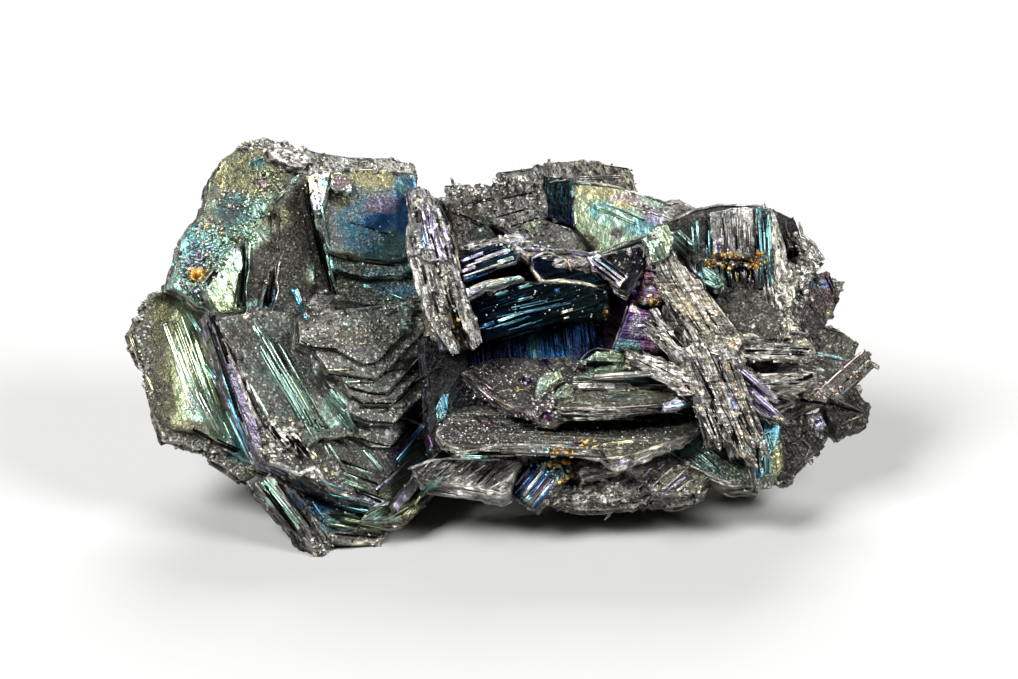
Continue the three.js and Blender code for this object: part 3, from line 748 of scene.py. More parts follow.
@dataclass(frozen=True)
class Grains:
    """Dust-like crystals on a face, three-sided pyramids, so many to a square of it."""

    density: float

    LEAST, MORE = 0.05, 0.11  # squares: the least reach, and how much may be added
    HEIGHT = (0.5, 1.4)  # times the reach
    SUNK = 0.03  # squares that the foot is sunk
    CORNERS = np.array([0, 1, 3, 1, 2, 3, 2, 0, 3, 2, 1, 0])  # of the four faces
    TONES = {0.5: 0.4, 1.0: 0.4, 2.2: 0.2}  # each tone and how often it comes

    def shell(self, crystal: Crystal, rng: Generator) -> Shell:
        """Sprinkle the pyramids at random spots of the fan of triangles in the outline.

        Args:
            crystal: The crystal.
            rng: The source of random numbers.

        Returns:
            The pyramids.
        """
        outline = crystal.outline
        after = np.roll(outline, -1, axis=0)
        area = np.abs(shoelace(outline)) / 2
        count = int(area.sum() * self.density)
        pick = rng.choice(len(outline), count, p=area / area.sum())
        root, share = np.sqrt(rng.random(count)), rng.random(count)
        flat = outline[pick] * (root * (1 - share))[:, None] + after[pick] * (root * share)[:, None]
        size = (self.LEAST + self.MORE * rng.random(count) ** 2)[:, None, None]
        turn = rng.uniform(0, 2 * np.pi, (count, 1)) + np.radians(120) * np.arange(3)
        foot = flat[:, None] + size * np.stack([np.cos(turn), np.sin(turn)], axis=-1)
        tip = flat[:, None] + rng.normal(0, 0.3, (count, 1, 2)) * size
        low = np.concatenate([foot, np.full((count, 3, 1), -self.SUNK)], axis=2)
        high = np.concatenate([tip, rng.uniform(*self.HEIGHT, (count, 1, 1)) * size], axis=2)
        points = crystal.placed(np.concatenate([low, high], axis=1)).reshape(-1, 3)
        loops = (np.arange(count)[:, None] * 4 + self.CORNERS).ravel()
        light = crystal.skin.light * rng.choice(list(self.TONES), count, p=list(self.TONES.values()))
        film = np.full(count, crystal.skin.film[0])
        return growth((points, loops, np.full(4 * count, 3)), film, 0.9, light, 0)


class Surface:
    """The side of the crystals that the viewer sees, found by rays that come in square to the sheet."""

    HIGH = 20.0  # squares, where the rays start

    def __init__(self, shell: Shell) -> None:
        """Take in the faces."""
        faces = [part.tolist() for part in np.split(shell.loops, np.cumsum(shell.sizes)[:-1])]
        self.tree = BVHTree.FromPolygons(shell.points.tolist(), faces)

    def under(self, across: Array, down: Array) -> tuple[Array, Array, Array]:
        """Find what lies under places on the sheet.

        Args:
            across: Squares from the sheet's left edge.
            down: Squares from its upper edge.

        Returns:
            The points, the ways that the surface faces there, and whether each ray met it.
        """
        starts = sheet_point(across, down, np.full(np.shape(across), self.HIGH)).tolist()
        hits = [self.tree.ray_cast(Vector(start), Vector(-OUT)) for start in starts]
        met = np.array([hit[0] is not None for hit in hits], bool)
        points = np.array([hit[0] or start for hit, start in zip(hits, starts)], float).reshape(-1, 3)
        facing = np.array([hit[1] or (0, 0, 1) for hit in hits], float).reshape(-1, 3)
        return points, facing * np.where(facing[:, 2:] < 0, -1.0, 1.0), met


@dataclass(frozen=True)
class Ribs:
    """Bundles of ribs, one beside each line of (across, down, across, down); bright ones are painted highlights and
    near-black ones painted shadow lines.
    """

    lines: list[tuple[float, float, float, float]]
    film: float
    # brightness: bright bundles are painted highlights, near-black ones painted shadow lines
    light: float
    width: float  # squares across the bundle
    count: int = 2
    whole: float = 0.9  # how much of its line each rib keeps
    lift: float = 0.03
    rib: Pair = (0.12, 0.3)  # squares, the least and the most width
    worn: int = 0
    spread: float = 0.02

    HEIGHT = (0.06, 0.16)  # squares, before the lift
    TONES = (0.45, 1.25)
    STEEPEST, DEEPEST = 1.5, 2.5  # a rib that falls more than this for each square, or hangs as deep, is left out

    def shell(self, surface: Surface, rng: Generator) -> Shell:
        """Build the bundles on what lies under them."""
        return Shell.joined([self.bundle(np.array(line[:2]), np.array(line[2:]), surface, rng)
                             for line in self.lines])

    def bundle(self, head: Array, tail: Array, surface: Surface, rng: Generator) -> Shell:
        """Build one bundle, each rib a random part of the line beside its middle.

        Args:
            head: Across and down where the line starts.
            tail: Across and down where it ends.
            surface: What the ribs lie on.
            rng: The source of random numbers.

        Returns:
            The ribs that meet the surface.
        """
        run = tail - head
        cross = unit(np.array([-run[1], run[0]]))
        offset = rng.uniform(-0.5, 0.5, self.count) * self.width
        first = rng.beta(0.8, 2.2, self.count) * (1 - self.whole)
        last = 1 - (1 - first) * (1 - rng.beta(2.0, 1.3, self.count)) * (1 - self.whole)
        heads = head + np.outer(first, run) + np.outer(offset, cross)
        tails = head + np.outer(last, run) + np.outer(offset, cross)
        start, facing, met = surface.under(*heads.T)
        end, _, met_too = surface.under(*tails.T)
        sag = surface.under(*((heads + tails) / 2).T)[0] - (start + end) / 2
        start, end = start + np.maximum(sag, 0), end + np.maximum(sag, 0)
        drop = np.abs(start[:, 2] - end[:, 2])
        gentle = drop < self.STEEPEST * np.linalg.norm(tails - heads, axis=1)
        keep = met & met_too & gentle & (sag[:, 2] < self.DEEPEST)
        width = rng.uniform(*self.rib, self.count)
        height = rng.uniform(*self.HEIGHT, self.count) + self.lift
        film = self.film + rng.normal(0, self.spread, self.count)
        light = self.light * rng.uniform(*self.TONES, self.count)
        up = unit(facing + 0.6 * OUT)
        solids = ribs_between(start[keep], end[keep], up[keep], width[keep], height[keep])
        return growth(solids, film[keep], 0.05, light[keep], self.worn)


@dataclass(frozen=True)
class Edge:
    """One raised edge of a plate along a bent line of (across, down) places on the sheet."""

    path: list[Pair]
    width: Pair
    film: float = Tarnish.SILVER
    # brightness: a painted highlight along the edge, or a painted shadow line when near black
    light: float = 1.2
    worn: int = 1
    lift: float = 0.25
    ragged: float = 0.3

    PITCH = 0.35  # squares between sections
    SUNK = 0.15  # squares that the roof's feet are sunk
    RIDGE = (0.0, 0.2, 0.4, 0.6)  # where the grain runs along the roof's four lines

    def shell(self, surface: Surface, rng: Generator) -> Shell:
        """Build the edge: sections along the line, each a low roof whose width and height are chipped.

        Args:
            surface: What the edge lies on.
            rng: The source of random numbers.

        Returns:
            The shell.
        """
        path = np.array(self.path, float)
        arc = np.append(0, np.cumsum(np.linalg.norm(np.diff(path, axis=0), axis=1)))
        count = max(4, int(arc[-1] / self.PITCH))
        at = np.linspace(0, arc[-1], count)
        across, down = np.interp(at, arc, path[:, 0]), np.interp(at, arc, path[:, 1])
        base, _, met = surface.under(across, down)
        depth = np.interp(at, at[met], base[met, 2]) if met.any() else np.zeros(count)
        depth = np.maximum(depth, np.convolve(np.pad(depth, 2, mode="edge"), np.full(5, 0.2), mode="valid"))
        middle = sheet_point(across, down, depth)
        along = unit(np.gradient(middle, axis=0))
        cross = unit(np.cross(OUT, along))
        up = np.cross(along, cross)
        half = np.interp(at, [0, arc[-1]], self.width)[:, None] / 2
        wear = 1 - self.ragged * chipped(rng, 2, count, 3)[..., None]
        rise = up * self.lift * (1 - self.ragged * chipped(rng, 1, count, 2)[0][:, None])
        left, right = cross * half * wear[0], cross * half * wear[1]
        sunk = up * self.SUNK
        rings = np.stack([middle - left - sunk, middle - left * 0.5 + rise,
                          middle + right * 0.6 + rise * 0.8, middle + right - sunk], axis=1)
        grid = np.arange(count * 4).reshape(count, 4)
        after = np.roll(grid, -1, axis=1)
        quads = np.stack([grid[:-1], after[:-1], after[1:], grid[1:]], axis=-1)
        loops = np.concatenate([quads.ravel(), grid[0][::-1], grid[-1]])
        of_face = np.concatenate([np.repeat(np.arange(count - 1), 4), [0, count - 1]])
        uv = np.stack([np.repeat(at, 4)[loops] + rng.uniform(0, 40), np.tile(self.RIDGE, count)[loops]], axis=1)
        tone = self.light * (0.7 + 0.6 * chipped(rng, 1, count, 3)[0])[of_face]
        size = len(loops)
        return Shell(rings.reshape(-1, 3), loops, np.full(size // 4, 4), uv, np.full(size, float(self.film)),
                     np.full(size, 0.1), np.repeat(tone, 4), np.full(size, 0.4), np.full(size // 4, self.worn))


@dataclass(frozen=True)
class Flakes:
    """A patch of small flakes: centre and spread are (across, down) on the sheet."""

    centre: Pair
    spread: Pair
    count: int
    film: float
    light: float = 1.5
    size: Pair = (0.1, 0.35)
    worn: int = 0
    tilt: float = 0.35
    lift: float = 0.0

    HALF = (0.05, 0.16)  # squares, the least and the most half thickness
    TONES = (0.4, 0.8, 1.4)

    def shell(self, surface: Surface, rng: Generator) -> Shell:
        """Build the flakes, tilted at random on what lies under them."""
        place = np.array(self.centre) + rng.uniform(-1, 1, (self.count, 2)) * np.array(self.spread)
        points, facing, met = surface.under(*place.T)
        many = met.sum()
        up = unit(facing[met] + rng.normal(0, self.tilt, (many, 3)))
        first = unit(np.cross(up, rng.normal(0, 1, (many, 3))))
        solids = flakes(rng, points[met] + up * self.lift, up, first, self.size, self.HALF)
        film = self.film + rng.normal(0, 0.04, many)
        return growth(solids, film, 0.15, self.light * rng.choice(self.TONES, many), self.worn)


GROWTHS = {"ribs": Ribs, "edge": Edge, "flakes": Flakes}
PLATES = {"side": partial(outlined, 0), "plan": partial(outlined, 1), "front": partial(outlined, 2), "blade": blade}


def grown(table: str, surface: Surface, rng: Generator) -> list[Shell]:
    """Read a table of small growths, ribs where a row has no kind, and lay them on the surface."""
    return [GROWTHS["".join(row.names) or "ribs"](*row.places, *row.values, **row.named).shell(surface, rng)
            for row in rows(table)]


@dataclass(frozen=True)
class Tint:
    """A soft-edged patch of another look, whose light paints light and shade: spot and reach are (across, down) on the
    sheet.
    """

    spot: Pair
    reach: Pair
    film: float | None = None
    dust: float | None = None
    # brightness: painted light and shade
    light: float | None = None
    lined: float | None = None

    OUTER, FADE = 1.15, 0.35  # shares of the reach: where the patch ends, and how wide its fading rim is

    def paint(self, shell: Shell) -> None:
        """Change the shell's corners inside the patch, less and less towards its rim."""
        corner = (shell.points[shell.loops][:, :2] * (1, -1) + SHEET_CENTRE - self.spot) / self.reach
        share = np.clip((self.OUTER - np.linalg.norm(corner, axis=1)) / self.FADE, 0, 1)
        for key in ("dust", "light", "lined"):
            if getattr(self, key) is not None:
                values = getattr(shell, key)
                values += (getattr(self, key) - values) * share
        if self.film is not None:
            shell.film += (film_colour(np.array(self.film)) - shell.film) * share[:, None]


# ---- finishes


class Signal:
    """A value in a material: Python arithmetic on it adds the Math nodes."""

    def __init__(self, bench: "Bench", socket: Socket) -> None:
        """Wrap an output socket."""
        self.bench = bench
        self.socket = socket

    def math(self, operation: str, *values: "Signal | float", clamp: bool = False) -> "Signal":
        """Add one Math node on these values."""
        settings = {"operation": operation, "use_clamp": clamp}
        return Signal(self.bench, self.bench.node("ShaderNodeMath", settings, dict(enumerate(values))).outputs[0])

    def __add__(self, other: "Signal | float") -> "Signal":
        """Return self + other."""
        return self.math("ADD", self, other)

    __radd__ = __add__

    def __sub__(self, other: "Signal | float") -> "Signal":
        """Return self - other."""
        return self.math("SUBTRACT", self, other)

    def __rsub__(self, other: "Signal | float") -> "Signal":
        """Return other - self."""
        return self.math("SUBTRACT", other, self)

    def __mul__(self, other: "Signal | float") -> "Signal":
        """Return self * other."""
        return self.math("MULTIPLY", self, other)

    __rmul__ = __mul__

    def clamped(self) -> "Signal":
        """Return the value held between 0 and 1."""
        return self.math("ADD", self, 0.0, clamp=True)

    def band(self, low: float, high: float, first: float = 0.0, last: float = 1.0) -> "Signal":
        """Return a smooth rise from first to last while the value goes from low to high."""
        inputs = {0: self, 1: low, 2: high, 3: first, 4: last}
        node = self.bench.node("ShaderNodeMapRange", {"interpolation_type": "SMOOTHSTEP"}, inputs)
        return Signal(self.bench, node.outputs[0])


class Bench:
    """Builds one node material."""

    def __init__(self, name: str) -> None:
        """Start an empty material."""
        self.material = bpy.data.materials.new(name)
        self.material.use_nodes = True
        self.tree = self.material.node_tree
        self.tree.nodes.clear()

    def node(self, kind: str, settings: dict | None = None, inputs: dict | None = None) -> bpy.types.Node:
        """Add a node.

        Args:
            kind: The node's type.
            settings: Its settings, and "stops" as (position, colour) for a ramp.
            inputs: Values, Signals or sockets for its sockets, by name or number.

        Returns:
            The node.
        """
        made = self.tree.nodes.new(kind)
        for key, value_set in (settings or {}).items():
            if key == "stops":
                elements = made.color_ramp.elements
                for position, _ in value_set[1:-1]:
                    elements.new(position)
                for element, (_, colour) in zip(elements, value_set):
                    element.color = (*colour, 1.0)
            else:
                setattr(made, key, value_set)
        for key, given in (inputs or {}).items():
            given = given.socket if isinstance(given, Signal) else given
            if isinstance(given, Socket):
                self.tree.links.new(given, made.inputs[key])
            else:
                made.inputs[key].default_value = given
        return made

    def place(self) -> Socket:
        """Read the place in the piece's own frame."""
        return self.node("ShaderNodeTexCoord").outputs["Object"]

    def own(self) -> Socket:
        """Read the place in the face's own axes."""
        return self.node("ShaderNodeUVMap", {"uv_map": "grain"}).outputs[0]

    def attribute(self, name: str) -> Signal:
        """Read a number that the mesh carries."""
        return Signal(self, self.node("ShaderNodeAttribute", {"attribute_name": name}).outputs["Fac"])

    def film(self) -> Socket:
        """Read the tarnish colour that the mesh carries."""
        return self.node("ShaderNodeAttribute", {"attribute_name": "film"}).outputs["Color"]

    def ramp(self, share: Signal) -> Socket:
        """Read the tarnish colours in their order."""
        stops = [(float(key), colour) for key, colour in FILM_COLOURS.items()]
        return self.node("ShaderNodeValToRGB", {"stops": stops}, {0: share.clamped()}).outputs[0]

    def noise(self, place: Socket, scale: float, detail: float = 3.0, roughness: float = 0.6) -> Signal:
        """Read noise of about 0 to 1 at a place."""
        inputs = {"Vector": place, "Scale": scale, "Detail": detail, "Roughness": roughness}
        return Signal(self, self.node("ShaderNodeTexNoise", {}, inputs).outputs["Fac"])

    def stretched(self, place: Socket, scale: Triple) -> Socket:
        """Scale a place by its own factor along each axis."""
        return self.node("ShaderNodeMapping", {}, {"Vector": place, "Scale": scale}).outputs[0]

    def mixed(self, share: Signal | float, first: object, second: object) -> Socket:
        """Mix two colours by a share."""
        return self.node("ShaderNodeMix", {"data_type": "RGBA"}, {0: share, 6: first, 7: second}).outputs[2]

    def times(self, colour: object, tone: Signal) -> Socket:
        """Multiply a colour by a number."""
        return self.node("ShaderNodeVectorMath", {"operation": "SCALE"}, {0: colour, "Scale": tone}).outputs[0]

    def vector(self, operation: str, first: object, second: object) -> bpy.types.Node:
        """Add one Vector Math node on two vectors."""
        return self.node("ShaderNodeVectorMath", {"operation": operation}, {0: first, 1: second})

    def finish(self, bump: Pair = (1.0, 1.0), **inputs: object) -> Material:
        """End the material in one glossy shader with these inputs, and Height as a bump of a strength and distance."""
        if "Height" in inputs:
            relief = {"Strength": bump[0], "Distance": bump[1], "Height": inputs.pop("Height")}
            inputs["Normal"] = self.node("ShaderNodeBump", {}, relief).outputs[0]
        sockets = {name.replace("_", " "): given for name, given in inputs.items()}
        shader = self.node("ShaderNodeBsdfPrincipled", {}, sockets)
        self.node("ShaderNodeOutputMaterial", {}, {"Surface": shader.outputs[0]})
        return self.material


class Cells:
    """Small crystal facets: cells with a random shade and a random slope each."""

    def __init__(self, bench: Bench, place: Socket, scale: float) -> None:
        """Scatter cells at a scale; a facet's height is its own random direction times the way from its middle."""
        cell = bench.node("ShaderNodeTexVoronoi", {}, {"Vector": place, "Scale": scale})
        own = cell.outputs["Color"]
        away = bench.vector("SUBTRACT", place, cell.outputs["Position"]).outputs[0]
        slope = bench.vector("SUBTRACT", own, (0.5, 0.5, 0.5)).outputs[0]
        self.shade = Signal(bench, bench.node("ShaderNodeSeparateXYZ", {}, {0: own}).outputs[0])
        self.facets = Signal(bench, bench.vector("DOT_PRODUCT", away, slope).outputs["Value"])


@dataclass(frozen=True)
class TarnishedFace:
    """A metallic crystal face with fine striations, a coloured tarnish and a dusting of tiny dark crystals, with
    painted glints among them.
    """

    dust_colour: Triple = (0.103, 0.101, 0.088)
    cloudy: float = 0.14
    clean_rough: float = 0.30
    dusty_rough: float = 0.55
    # painted glints: brightness of the sparse bright dust cells in the base colour
    glint: float = 2.6
    broad_scale: float = 260.0  # this and the next four: how many to a metre
    patch_scale: float = 1100.0
    grit_scale: float = 6500.0
    cell_scale: float = 8200.0
    glint_scale: float = 6000.0
    line_stretch: Triple = (0.05, 2.2, 1.0)  # this and the next: how many to a square, along and across the grain
    fine_stretch: Triple = (0.15, 7.0, 1.0)
    line_relief: float = 0.00003  # m
    fine_relief: float = 0.000012  # m
    patch_relief: float = 0.00012  # m

    def material(self) -> Material:
        """Build the finish from the corners' film, dust, light and lined and from striations in the face's axes."""
        bench = Bench("tarnished_face")
        place, own = bench.place(), bench.own()
        lined, dust = bench.attribute("lined"), bench.attribute("dust")
        broad = bench.noise(place, self.broad_scale, 3.0)
        patch = bench.noise(place, self.patch_scale, 4.0)
        grit = bench.noise(place, self.grit_scale, 3.0, 0.7)
        cells = Cells(bench, place, self.cell_scale)
        lines = bench.noise(bench.stretched(own, self.line_stretch), 1.0, 3.0, 0.7).band(0.40, 0.60)
        fine = bench.noise(bench.stretched(own, self.fine_stretch), 1.0, 2.0, 0.6).band(0.38, 0.62)
        cloud = bench.ramp((broad - 0.5) * 1.6 + (lines - 0.5) * lined * 0.2 + 0.85)
        colour = bench.mixed(patch.band(0.4, 0.7) * self.cloudy, bench.film(), cloud)
        stripes = (lines * 0.65 + fine * 0.35) * lined
        cover = (dust + (patch - 0.5) * 0.7 + (grit - 0.5) * 0.5 + (broad - 0.5) * 0.5 - stripes * 0.3)
        cover = cover.band(0.32, 0.72)
        tone = (stripes * 1.1 + (1.0 - lined) * (patch * 0.5 + 0.55)) * (cells.shade * 0.3 + 0.75)
        clean = bench.times(colour, tone * 0.78 + 0.02)
        # painted glints: the brightest cells lit up in the base colour as sparkles
        glint = Cells(bench, place, self.glint_scale).shade.band(0.8, 0.96) * self.glint
        shadow = patch.band(0.35, 0.65, 0.55, 1.15) * broad.band(0.35, 0.65, 0.75, 1.15)
        dusty = bench.times(self.dust_colour, grit.band(0.35, 0.65, 0.35, 1.05) * shadow + glint)
        # the corners' light paints light and shade into the base colour
        base = bench.times(bench.mixed(cover * 0.9, clean, dusty), bench.attribute("light"))
        rough = cover * (self.dusty_rough - self.clean_rough) + self.clean_rough + (grit - 0.5) * 0.2
        height = (lines * self.line_relief + fine * self.fine_relief) * lined
        height = height + cells.facets * (cover * 0.9 + 0.05) + patch * self.patch_relief
        return bench.finish(Base_Color=base, Roughness=rough.clamped(), Metallic=1.0 - cover * 0.35, Height=height)


@dataclass(frozen=True)
class BrokenEdge:
    """The broken edge of a book of plates: silver and black facets and lines, with coloured slivers."""

    silver: tuple = (0.56, 0.53, 0.47, 1.0)
    black: tuple = (0.012, 0.012, 0.013, 1.0)
    patch_scale: float = 900.0  # this and the next two: how many to a metre
    grit_scale: float = 6500.0
    facet_scale: float = 7000.0
    line_stretch: Triple = (0.3, 2.6, 1.0)  # this and the next: how many to a square, along the rim and across
    facet_stretch: Triple = (1.1, 3.6, 1.0)
    facet_relief: float = 0.0004  # m
    line_relief: float = 0.00006  # m
    patch_relief: float = 0.0002  # m

    def material(self) -> Material:
        """Build the finish from small facets, lines along the rim and the corners' film, light and lined."""
        bench = Bench("broken_edge")
        place, own = bench.place(), bench.own()
        lined = bench.attribute("lined")
        lines = bench.noise(bench.stretched(own, self.line_stretch), 1.0, 4.0, 0.75).band(0.42, 0.56)
        patch = bench.noise(place, self.patch_scale, 4.0, 0.7)
        grit = bench.noise(place, self.grit_scale, 3.0, 0.7)
        large = Cells(bench, bench.stretched(own, self.facet_stretch), 1.0)
        small = Cells(bench, place, self.facet_scale)
        silver = bench.mixed((patch * 0.5 + large.shade * 0.5).band(0.42, 0.62) * 0.85, self.silver, bench.film())
        tone = large.shade.band(0.1, 0.9) * 0.7 + small.shade * 0.25 + (grit - 0.5) * 0.4 + 0.15
        tone = tone * patch.band(0.36, 0.6, 0.5, 1.15) * (1.0 - (1.0 - lines) * (lined * 0.95))
        # the corners' light paints light and shade into the base colour
        base = bench.times(bench.mixed(tone.clamped(), self.black, silver), bench.attribute("light"))
        height = large.facets * self.facet_relief + small.facets * 0.5
        height = height + lines * lined * self.line_relief + patch * self.patch_relief
        return bench.finish(Base_Color=base, Roughness=small.shade * 0.2 + 0.3, Metallic=0.9 - patch * 0.3,
                            Height=height)


@dataclass(frozen=True)
class GoldGrain:
    """Brassy orange to yellow grains."""

    yellow: tuple = (0.72, 0.50, 0.14, 1.0)
    orange: tuple = (0.50, 0.20, 0.03, 1.0)
    patch_scale: float = 1500.0  # patches to a metre
    relief: Pair = (0.6, 0.0001)  # strength, and height in metres

    def material(self) -> Material:
        """Build the finish from patches of the two colours."""
        bench = Bench("gold_grain")
        patches = bench.noise(bench.place(), self.patch_scale, 3.0)
        base = bench.times(bench.mixed(patches.band(0.4, 0.6), self.yellow, self.orange), bench.attribute("light"))
        return bench.finish(self.relief, Base_Color=base, Roughness=patches * 0.3 + 0.25,
                            Metallic=patches * 0.2 + 0.6, Height=patches)


@dataclass
class Finishes:
    """The finishes, made once."""

    face: Material = field(default_factory=lambda: TarnishedFace().material())
    edge: Material = field(default_factory=lambda: BrokenEdge().material())
    gold: Material = field(default_factory=lambda: GoldGrain().material())


def mesh_piece(name: str, shell: Shell, materials: list[Material]) -> bpy.types.Object:
    """Put a shell into a mesh piece that rides on the cluster and stands for its solid.

    Args:
        name: The piece's name.
        shell: The surfaces, in squares on the sheet.
        materials: The finishes that the faces' skins number.

    Returns:
        The piece.
    """
    placed = to_part(shell.points)
    placed[:, 2] = np.maximum(placed[:, 2], 0.0)
    mesh = bpy.data.meshes.new(name)
    mesh.vertices.add(len(placed))
    mesh.vertices.foreach_set("co", placed.astype(np.float32).ravel())
    mesh.loops.add(len(shell.loops))
    mesh.loops.foreach_set("vertex_index", shell.loops.astype(np.int32))
    mesh.polygons.add(len(shell.sizes))
    mesh.polygons.foreach_set("loop_start", (np.cumsum(shell.sizes) - shell.sizes).astype(np.int32))
    mesh.polygons.foreach_set("material_index", np.minimum(shell.skin, len(materials) - 1).astype(np.int32))
    mesh.update(calc_edges=True)
    mesh.uv_layers.new(name="grain").data.foreach_set("uv", shell.uv.astype(np.float32).ravel())
    colours = np.append(shell.film, np.ones((len(shell.film), 1)), axis=1).astype(np.float32)
    mesh.attributes.new("film", "FLOAT_COLOR", "CORNER").data.foreach_set("color", colours.ravel())
    for key in ("dust", "light", "lined"):
        layer = mesh.attributes.new(key, "FLOAT", "CORNER")
        layer.data.foreach_set("value", getattr(shell, key).astype(np.float32))
    mesh.validate()
    for material in materials:
        mesh.materials.append(material)
    piece = bpy.data.objects.new(name, mesh)
    bpy.context.scene.collection.objects.link(piece)
    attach(piece, "root")
    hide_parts(NODE)
    log.info("built %s: %d faces", name, len(shell.sizes))
    return piece


@dataclass
class Group:
    """A group of crystals that grew together, with the small growths on them, as four tables.

    A skin's row holds its name and Skin's values. A plate's row holds its kind unless that is front, its
    skin's name, its kind's values and its outline. A tint's row holds Tint's values. A growth's row holds
    its kind unless that is ribs, and its kind's values.
    """

    name: str
    seed: int
    rib_density: float = 0.35
    chip_density: float = 0.5
    grain_density: float = 5.0
    skins: str = ""
    plates: str = ""
    tints: str = ""
    growths: str = ""

    def crystals(self) -> list[Crystal]:
        """Return the group's crystals."""
        skins = {row.names[0]: Skin(*row.values, **row.named) for row in rows(self.skins)}
        made = []
        for row in rows(self.plates):
            kind, skin = ["front", *row.names][-2:]
            made.append(PLATES[kind](skins[skin], *row.places, *row.values))
        return made

    def grow(self) -> Shell:
        """Grow the bare crystals and return them."""
        self.rng = np.random.default_rng(self.seed)
        self.members = self.crystals()
        self.bare = Shell.joined([crystal.shell(self.rng) for crystal in self.members])
        return self.bare

    def laid(self, surface: Surface, rng: Generator) -> list[Shell]:
        """Lay the group's small growths on the surface."""
        return grown(self.growths, surface, rng)

    def build(self, finishes: Finishes, surface: Surface) -> bpy.types.Object:
        """Build the group as one piece, with its small growths laid on the surface."""
        rng = self.rng
        shells = [self.bare]
        for crystal in self.members:
            chips = Chips(self.chip_density * (0.3 + crystal.skin.ragged))
            for growths in (Striae(self.rib_density), chips, Grains(self.grain_density * crystal.skin.dust)):
                shells.append(growths.shell(crystal, rng))
        whole = Shell.joined(shells)
        for row in rows(self.tints):
            Tint(*row.values, **row.named).paint(whole)
        whole = Shell.joined([whole] + self.laid(surface, rng))
        return mesh_piece(self.name, whole, [finishes.face, finishes.edge])


# ---- the groups of crystals


@dataclass
class LeftWing(Group):
    """The broad wing at the far left: two plates, the lower one showing past the upper one's edge."""

    name: str = "left_wing"
    seed: int = 11
    rib_density: float = 0.1
    skins: str = """
    upper OLIVE,LEAF 1,.15 .3 .75 SILVER .8 .35 3 grain=.38,.92 lined=.2;
    lower SILVER,OLIVE 1,0 .7 1.5 SILVER 1 .9 6 grain=.38,.92"""
    plates: str = """
    upper 1.2 .24,.3,.92 1.1 | 13.6,33 15.2,29.7 17.6,28 20.6,29.4 22.4,33.5 24.6,42.5 26,46.6 24.2,45.8 22.8,44.6
      21.4,43.8 19.6,43 17.4,42.6 16,41.6 15,38;
    lower .1 .24,.3,.92 1.6 | 12.5,33.2 14.8,29.4 17,28.4 21,29 27,47.2 24.2,47.9 22,46.4 19.2,44.6 16.6,44 15.9,42.6
      14.6,38"""
    tints: str = """
    16.2,32.2 1.6,3 OLIVE .4 .42 .1; 15.6,36.8 1.5,3.4 OLIVE .45 .5 .1; 16.4,40 1.5,2 OLIVE .5 .42 .1; 19.4,36.2
    1.9,6.6 LEAF .1 1.15 .1; 20,39.2 1.3,3.8 MINT .1 1.5 .1; 18.8,31.6 1.5,3 LEAF .1 .8; 23.6,42.6 .9,2.4 MINT .2 .8;
    14.2,35 .7,4.6 SILVER .9 1; 23.8,45 1.6,1.2 CYAN .5 .95; 18.6,42.6 2.6,.7 OLIVE .5 1.1"""
    # the bright LEAF, MINT and SILVER rib bundles are painted highlights of the wing's streaks; the near-black SILVER
    # ones are painted shadows between them
    growths: str = """
    LEAF 2.1 1.4 9 .5 rib=.2,.4 | 16.8,32,20.8,42.4 18,31.4,22,42; MINT 2.39 1.2 9 .45 rib=.16,.36 | 17.6,34,20.6,41.6
    18.8,35,22.2,43; SILVER 3.03 .5 4 .6 rib=.14,.26 | 17.6,36,20,42 19.2,38,22.2,43.6; CYAN 2.52 .5 5 .6 |
    18.6,31,20.3,33.8 20.3,36.2,21.6,38 22.6,41,25.6,47; AZURE 2.39 .5 4 .6 | 22.2,36.6,24.2,42.4 22.9,39.4,25.2,45;
    SILVER .03 .4 4 .7 | 21,32,24.6,42.5 21.4,31.4,23.4,37 19.2,42.6,21.6,44 21.6,44,24.2,45.2; LEMON 1.88 .2 3 |
    12.9,33.2,14,36.2 14.6,37.2,15.6,39.2; flakes 14.4,36 .9,5 50 SILVER 1.3 .1,.3 1 .7; flakes 20,44.6 3.4,1 60
    SILVER 1.3 .1,.32 1 .7"""


